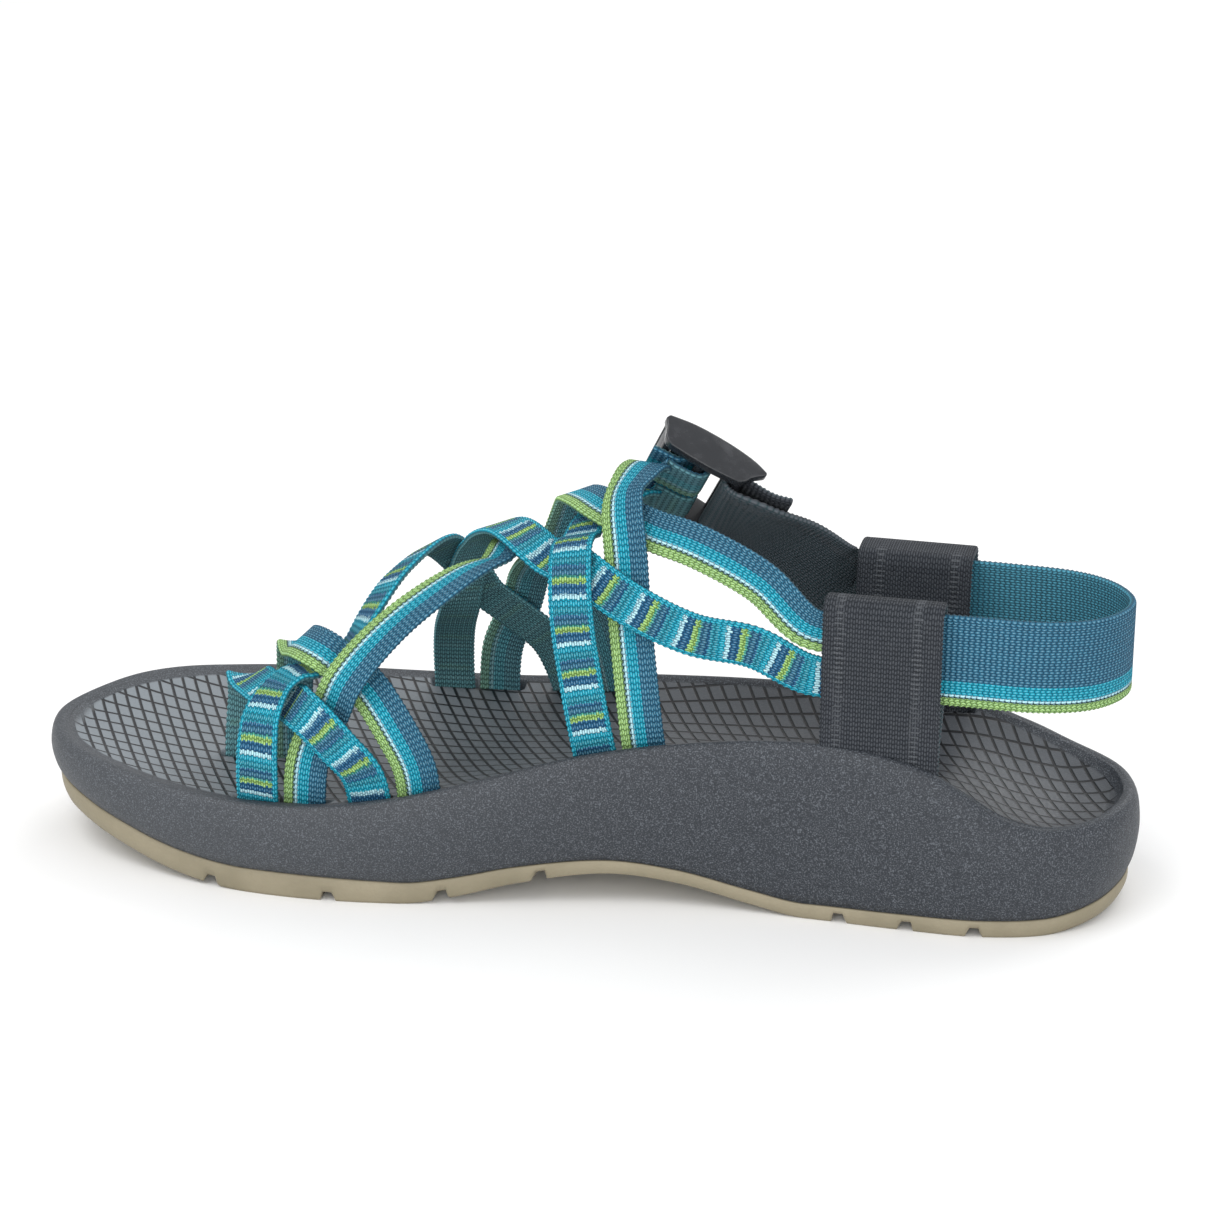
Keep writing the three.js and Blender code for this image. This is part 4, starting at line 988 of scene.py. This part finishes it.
    def slots(self, x: Array, y: Array) -> Array:
        """Share of the slot depth at each point, 1 inside the slots the webbings leave the sole by."""
        narrow = (NarrowWebbings.width, NarrowWebbings.thickness)
        wide = (HeelWebbings.riser_width, HeelWebbings.riser_thickness)
        firsts = {"instep_strap": (1, -1)} | {part: run[0] for part, run in NarrowWebbings.RUNS.items()}
        bands = [(f"{kind}_{part}", *narrow, *first) for kind in ("patterned", "striped")
                 for part, first in firsts.items()]
        bands += [("medial_riser", *wide, 1, -1), ("lateral_riser", *wide, 1, 1)]
        hole = np.zeros_like(x)
        for node, width, thick, axis, sign in bands:
            band = TapeNode(node, width, thick, axis, sign, (0, 1, 0)).sections()
            for end in (0, -1):
                at, across = band.at[end], unit(band.across[end][:2])
                if at[2] > self.highest_slot:
                    continue
                along = np.abs((x - at[0]) * across[0] + (y - at[1]) * across[1]) - width / 2
                beside = np.abs((y - at[1]) * across[0] - (x - at[0]) * across[1]) - thick / 2
                hole = np.maximum(hole, 1 - smoothstep(0.3, 1.1, np.maximum(along, beside)))
        return hole

    def midsole(self) -> None:
        """Builds the midsole: two walls, the footbed with tread and slots, and the underside."""
        medial, lateral = self.sides(self.stations)
        share = np.linspace(0, 1, self.top_columns)
        x, y, taper = self.rows_across(medial, lateral, self.rim_width, share)
        z = self.footbed(x, share[None], taper)
        spots = np.dstack([x, y])
        from_edge = np.minimum(*(np.linalg.norm(spots - side[:, None, :2], axis=2)
                                 for side in (medial, lateral)))
        margin = profile(self.MARGIN, self.share(x))
        inside = np.minimum(from_edge, self.to_row_end(x, y, share) + self.rim_width)
        mask = smoothstep(-0.4, 0.4, inside - margin) * smoothstep(0.5, 1.0, taper)
        hole = self.slots(x, y)
        z = z - self.slot_depth * hole
        under_share = np.linspace(0, 1, 14)
        under_x, under_y, _ = self.rows_across(medial, lateral, self.foot_inset, under_share)
        under_z = self.outsole_top(under_x, under_share[None]) + self.outsole_gap
        inner = self.wall(medial, self.medial_rim(medial[:, 0]), under_z[:, 0])
        outer = self.wall(lateral, self.lateral_rim(lateral[:, 0]), under_z[:, -1])[:, ::-1]
        under = np.dstack([under_x, under_y, under_z])[:, 1:-1][:, ::-1]
        grid = np.concatenate([inner, np.dstack([x, y, z]), outer, under], axis=1)
        marks = [np.zeros(part.shape[:2]) for part in (inner, outer, under)]
        tread = np.concatenate([marks[0], mask * (1 - hole), marks[1], marks[2]], axis=1)
        faces = ring_faces(*grid.shape[:2], capped=False)
        piece = new_object("midsole_body", grid.reshape(-1, 3), faces, {"tread": tread.ravel()})
        place_piece(piece, FoamFinish().build(), ["midsole"])
        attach(piece, ROOT)

    def outsole(self) -> None:
        """Builds the outsole: a thin loft with notches at its edges and wavy lugs underneath."""
        medial, lateral = self.sides(560)
        share = np.linspace(0, 1, 64)
        low_x, low_y, taper = self.rows_across(medial, lateral, 3.0, share)
        low_z = self.ground(low_x, share[None])
        reach = self.to_row_end(low_x, low_y, share)
        notch = self.notch(low_x) * (1 - smoothstep(13.5, 15, reach))
        wave = np.abs(((low_x + 3.2 * np.sin(low_y / 6.5)) / 8.4) % 1 - 0.5)
        lugs = (1 - smoothstep(0.07, 0.13, wave)) * smoothstep(6, 8, reach) * smoothstep(0.5, 1, taper)
        low_z = low_z + np.maximum(self.groove_depth * notch, 1.3 * lugs)
        high_x, high_y, _ = self.rows_across(medial, lateral, self.foot_inset, share)
        high_z = self.outsole_top(high_x, share[None])
        rise = np.linspace(0, 1, 9)[1:-1]
        walls = []
        for side, column in ((medial, 0), (lateral, -1)):
            bulge = 3.0 - 0.8 * rise - 0.5 * np.sin(np.pi * rise)
            xy = self.inset(side, bulge)
            foot, head = low_z[:, column], high_z[:, column]
            walls.append(np.dstack([xy, foot[:, None] + (head - foot)[:, None] * rise[None]]))
        low, high = np.dstack([low_x, low_y, low_z]), np.dstack([high_x, high_y, high_z])
        grid = np.concatenate([walls[0], high, walls[1][:, ::-1], low[:, ::-1]], axis=1)
        faces = ring_faces(*grid.shape[:2], capped=False)
        piece = new_object("rubber_outsole", grid.reshape(-1, 3), faces, {})
        place_piece(piece, RubberFinish().build(), ["outsole"])
        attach(piece, ROOT)

    def notch(self, x: Array) -> Array:
        """1 inside an edge notch, 0 away from it."""
        centres = np.array(self.NOTCHES) * self.length / 2
        near = np.min(np.abs(x[..., None] - centres), axis=-1)
        return 1 - smoothstep(self.groove_width / 2 - 0.3, self.groove_width / 2 + 0.3, near)

    def build(self) -> None:
        """Builds both layers."""
        self.midsole()
        self.outsole()


# ---- buckle ----


@dataclass
class Buckle:
    """Moulded strap buckle: two rails, an arched plate at each end, and three bars."""

    place: BuckleFrame
    inside: float = 25.4
    rail: float = 2.6
    length: float = 28.0
    bar_radius: float = 1.3
    front_bar_lift: float = 2.0
    plate: float = 1.6
    rounding: float = 0.45

    ARCH = [(1.5, 3.9), (5, 5.3), (10, 6.4), (16, 7.1), (22, 7.3), (28.0, 6.7)]
    RAIL_FOOT = [
        (28.6, 5.6), (28.1, 4.6), (27.4, 3.4), (27.1, 2.0), (26.8, 0.8), (26, -0.2), (24.6, -0.8), (20, -1.4),
        (15, -1.9), (10, -2), (6.6, -1.9), (5.2, -0.8), (4.4, 0.6), (3.2, 1.7), (1.8, 2.7), (1.3, 3.2),
    ]
    LIP = [(25.4, 6.6), (27.8, 6.2), (27.6, 4.6), (27.1, 3.0), (26.6, 2.0), (25.5, 2.0), (25.4, 4.6)]

    def arch(self, u: Array) -> Array:
        """Height of the outer face along the buckle."""
        return profile(self.ARCH, u)

    def extruded(self, outline: Array, start: float, stop: float) -> tuple[Array, list[list[int]]]:
        """A closed outline in the forward and outward axes, carried straight across.

        Returns:
            Points and faces.
        """
        forward, out = outline.T
        sides = [self.place.spot(forward, out, side) for side in (start, stop)]
        return np.concatenate(sides), ring_faces(2, len(outline))

    def rail_outline(self) -> Array:
        """Outline of a rail seen from the side."""
        u = np.linspace(1.5, self.length, 24)
        return np.vstack([np.column_stack([u, self.arch(u)]), self.RAIL_FOOT])

    def plate_outline(self, start: float, stop: float) -> Array:
        """Outline of an arched plate seen from the side."""
        u = np.linspace(start, stop, 12)
        top = np.column_stack([u, self.arch(u) - 0.05])
        return np.vstack([top, top[::-1] - [0, self.plate]])

    def bar_outline(self, u: float, n: float) -> Array:
        """Round outline of a bar."""
        turn = np.linspace(0, 2 * np.pi, 28, endpoint=False)
        return np.column_stack([u + self.bar_radius * np.cos(turn), n + self.bar_radius * np.sin(turn)])

    def build(self) -> None:
        """Joins all parts of the moulding into one piece and rounds its edges."""
        half = self.inside / 2
        parts = [self.extruded(self.rail_outline(), half, half + self.rail),
                 self.extruded(self.rail_outline(), -half - self.rail, -half)]
        bars = ((self.place.rear_bar, 0.0), (self.place.middle_bar, 0.0),
                (self.place.front_bar, self.front_bar_lift))
        between = [self.plate_outline(4.8, 10.4), self.plate_outline(21.2, self.length), np.array(self.LIP)]
        between += [self.bar_outline(u, n) for u, n in bars]
        parts += [self.extruded(outline, -half - 1, half + 1) for outline in between]
        points, faces, first = [], [], 0
        for place, shape in parts:
            points.append(place)
            faces += [[first + number for number in face] for face in shape]
            first += len(place)
        piece = new_object("buckle_moulding", np.concatenate(points), faces, {})
        bevel = piece.modifiers.new("rounded_edges", "BEVEL")
        bevel.width, bevel.segments, bevel.limit_method = self.rounding * MM, 3, "ANGLE"
        bevel.angle_limit = math.radians(40)
        place_piece(piece, PlasticFinish().build(), ["buckle"])
        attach(piece, "buckle")


# ---- stage ----


@dataclass(frozen=True)
class Studio:
    """White floor, soft lights and the camera."""

    azimuth: float = 12.6
    elevation: float = 21.1
    distance: float = 0.9
    focal: float = 110.74
    roll: float = 0.5
    target: Triple = (0.0056, 0.0, 0.0618)

    def camera(self) -> None:
        """Puts the camera on a sphere round the target, with a slight roll."""
        a, e = math.radians(self.azimuth), math.radians(self.elevation)
        back = Vector((math.sin(a) * math.cos(e), -math.cos(a) * math.cos(e), math.sin(e)))
        data = bpy.data.cameras.new("camera")
        data.lens, data.sensor_width, data.clip_end = self.focal, 36.0, 20.0
        camera = linked("camera", data)
        turn = back.to_track_quat("Z", "Y").to_matrix() @ Matrix.Rotation(math.radians(self.roll), 3, "Z")
        camera.matrix_world = Matrix.Translation(Vector(self.target) + back * self.distance) @ turn.to_4x4()
        bpy.context.scene.camera = camera

    def floor(self) -> None:
        """A wide pale floor."""
        half = 6.0
        corners = [(-half, -half, 0), (half, -half, 0), (half, half, 0), (-half, half, 0)]
        mesh = bpy.data.meshes.new("studio_floor")
        mesh.from_pydata(corners, [], [(0, 1, 2, 3)])
        floor = linked("studio_floor", mesh)
        sh = Shader("pale_floor")
        sh.surface.inputs["Base Color"].default_value = (0.9, 0.9, 0.9, 1)
        sh.surface.inputs["Roughness"].default_value = 0.9
        mesh.materials.append(sh.material)

    def light(self, name: str, place: Triple, size: float, power: float) -> None:
        """One square soft light aimed at the sandal."""
        data = bpy.data.lights.new(name, "AREA")
        data.size, data.energy = size, power
        lamp = linked(name, data)
        aim = (Vector(place) - Vector(self.target)).to_track_quat("Z", "Y")
        lamp.matrix_world = Matrix.Translation(place) @ aim.to_matrix().to_4x4()

    def build(self) -> None:
        """Sets up the whole studio."""
        self.camera()
        self.floor()
        world = bpy.data.worlds.new("studio_world")
        world.use_nodes = True
        world.node_tree.nodes["Background"].inputs["Color"].default_value = (1, 1, 1, 1)
        world.node_tree.nodes["Background"].inputs["Strength"].default_value = 0.75
        bpy.context.scene.world = world
        bpy.context.scene.view_settings.view_transform = "Standard"
        self.light("key_light", (-0.5, -0.6, 1.3), 0.9, 9.0)
        self.light("back_light", (0.5, 1.0, 0.9), 1.2, 8.0)
        self.light("side_light", (1.2, -0.6, 0.5), 0.8, 3.0)
        self.light("fill_light", (0.1, -1.4, 0.45), 1.0, 7.0)


def main() -> None:
    """Builds the studio and the sandal."""
    logging.basicConfig(level=logging.INFO, format="%(name)s %(message)s")
    Studio().build()
    buckle = BuckleFrame()
    Sole().build()
    NarrowWebbings(buckle).build()
    HeelWebbings().build()
    Buckle(buckle).build()
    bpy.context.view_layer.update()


if __name__ == "__main__":
    main()
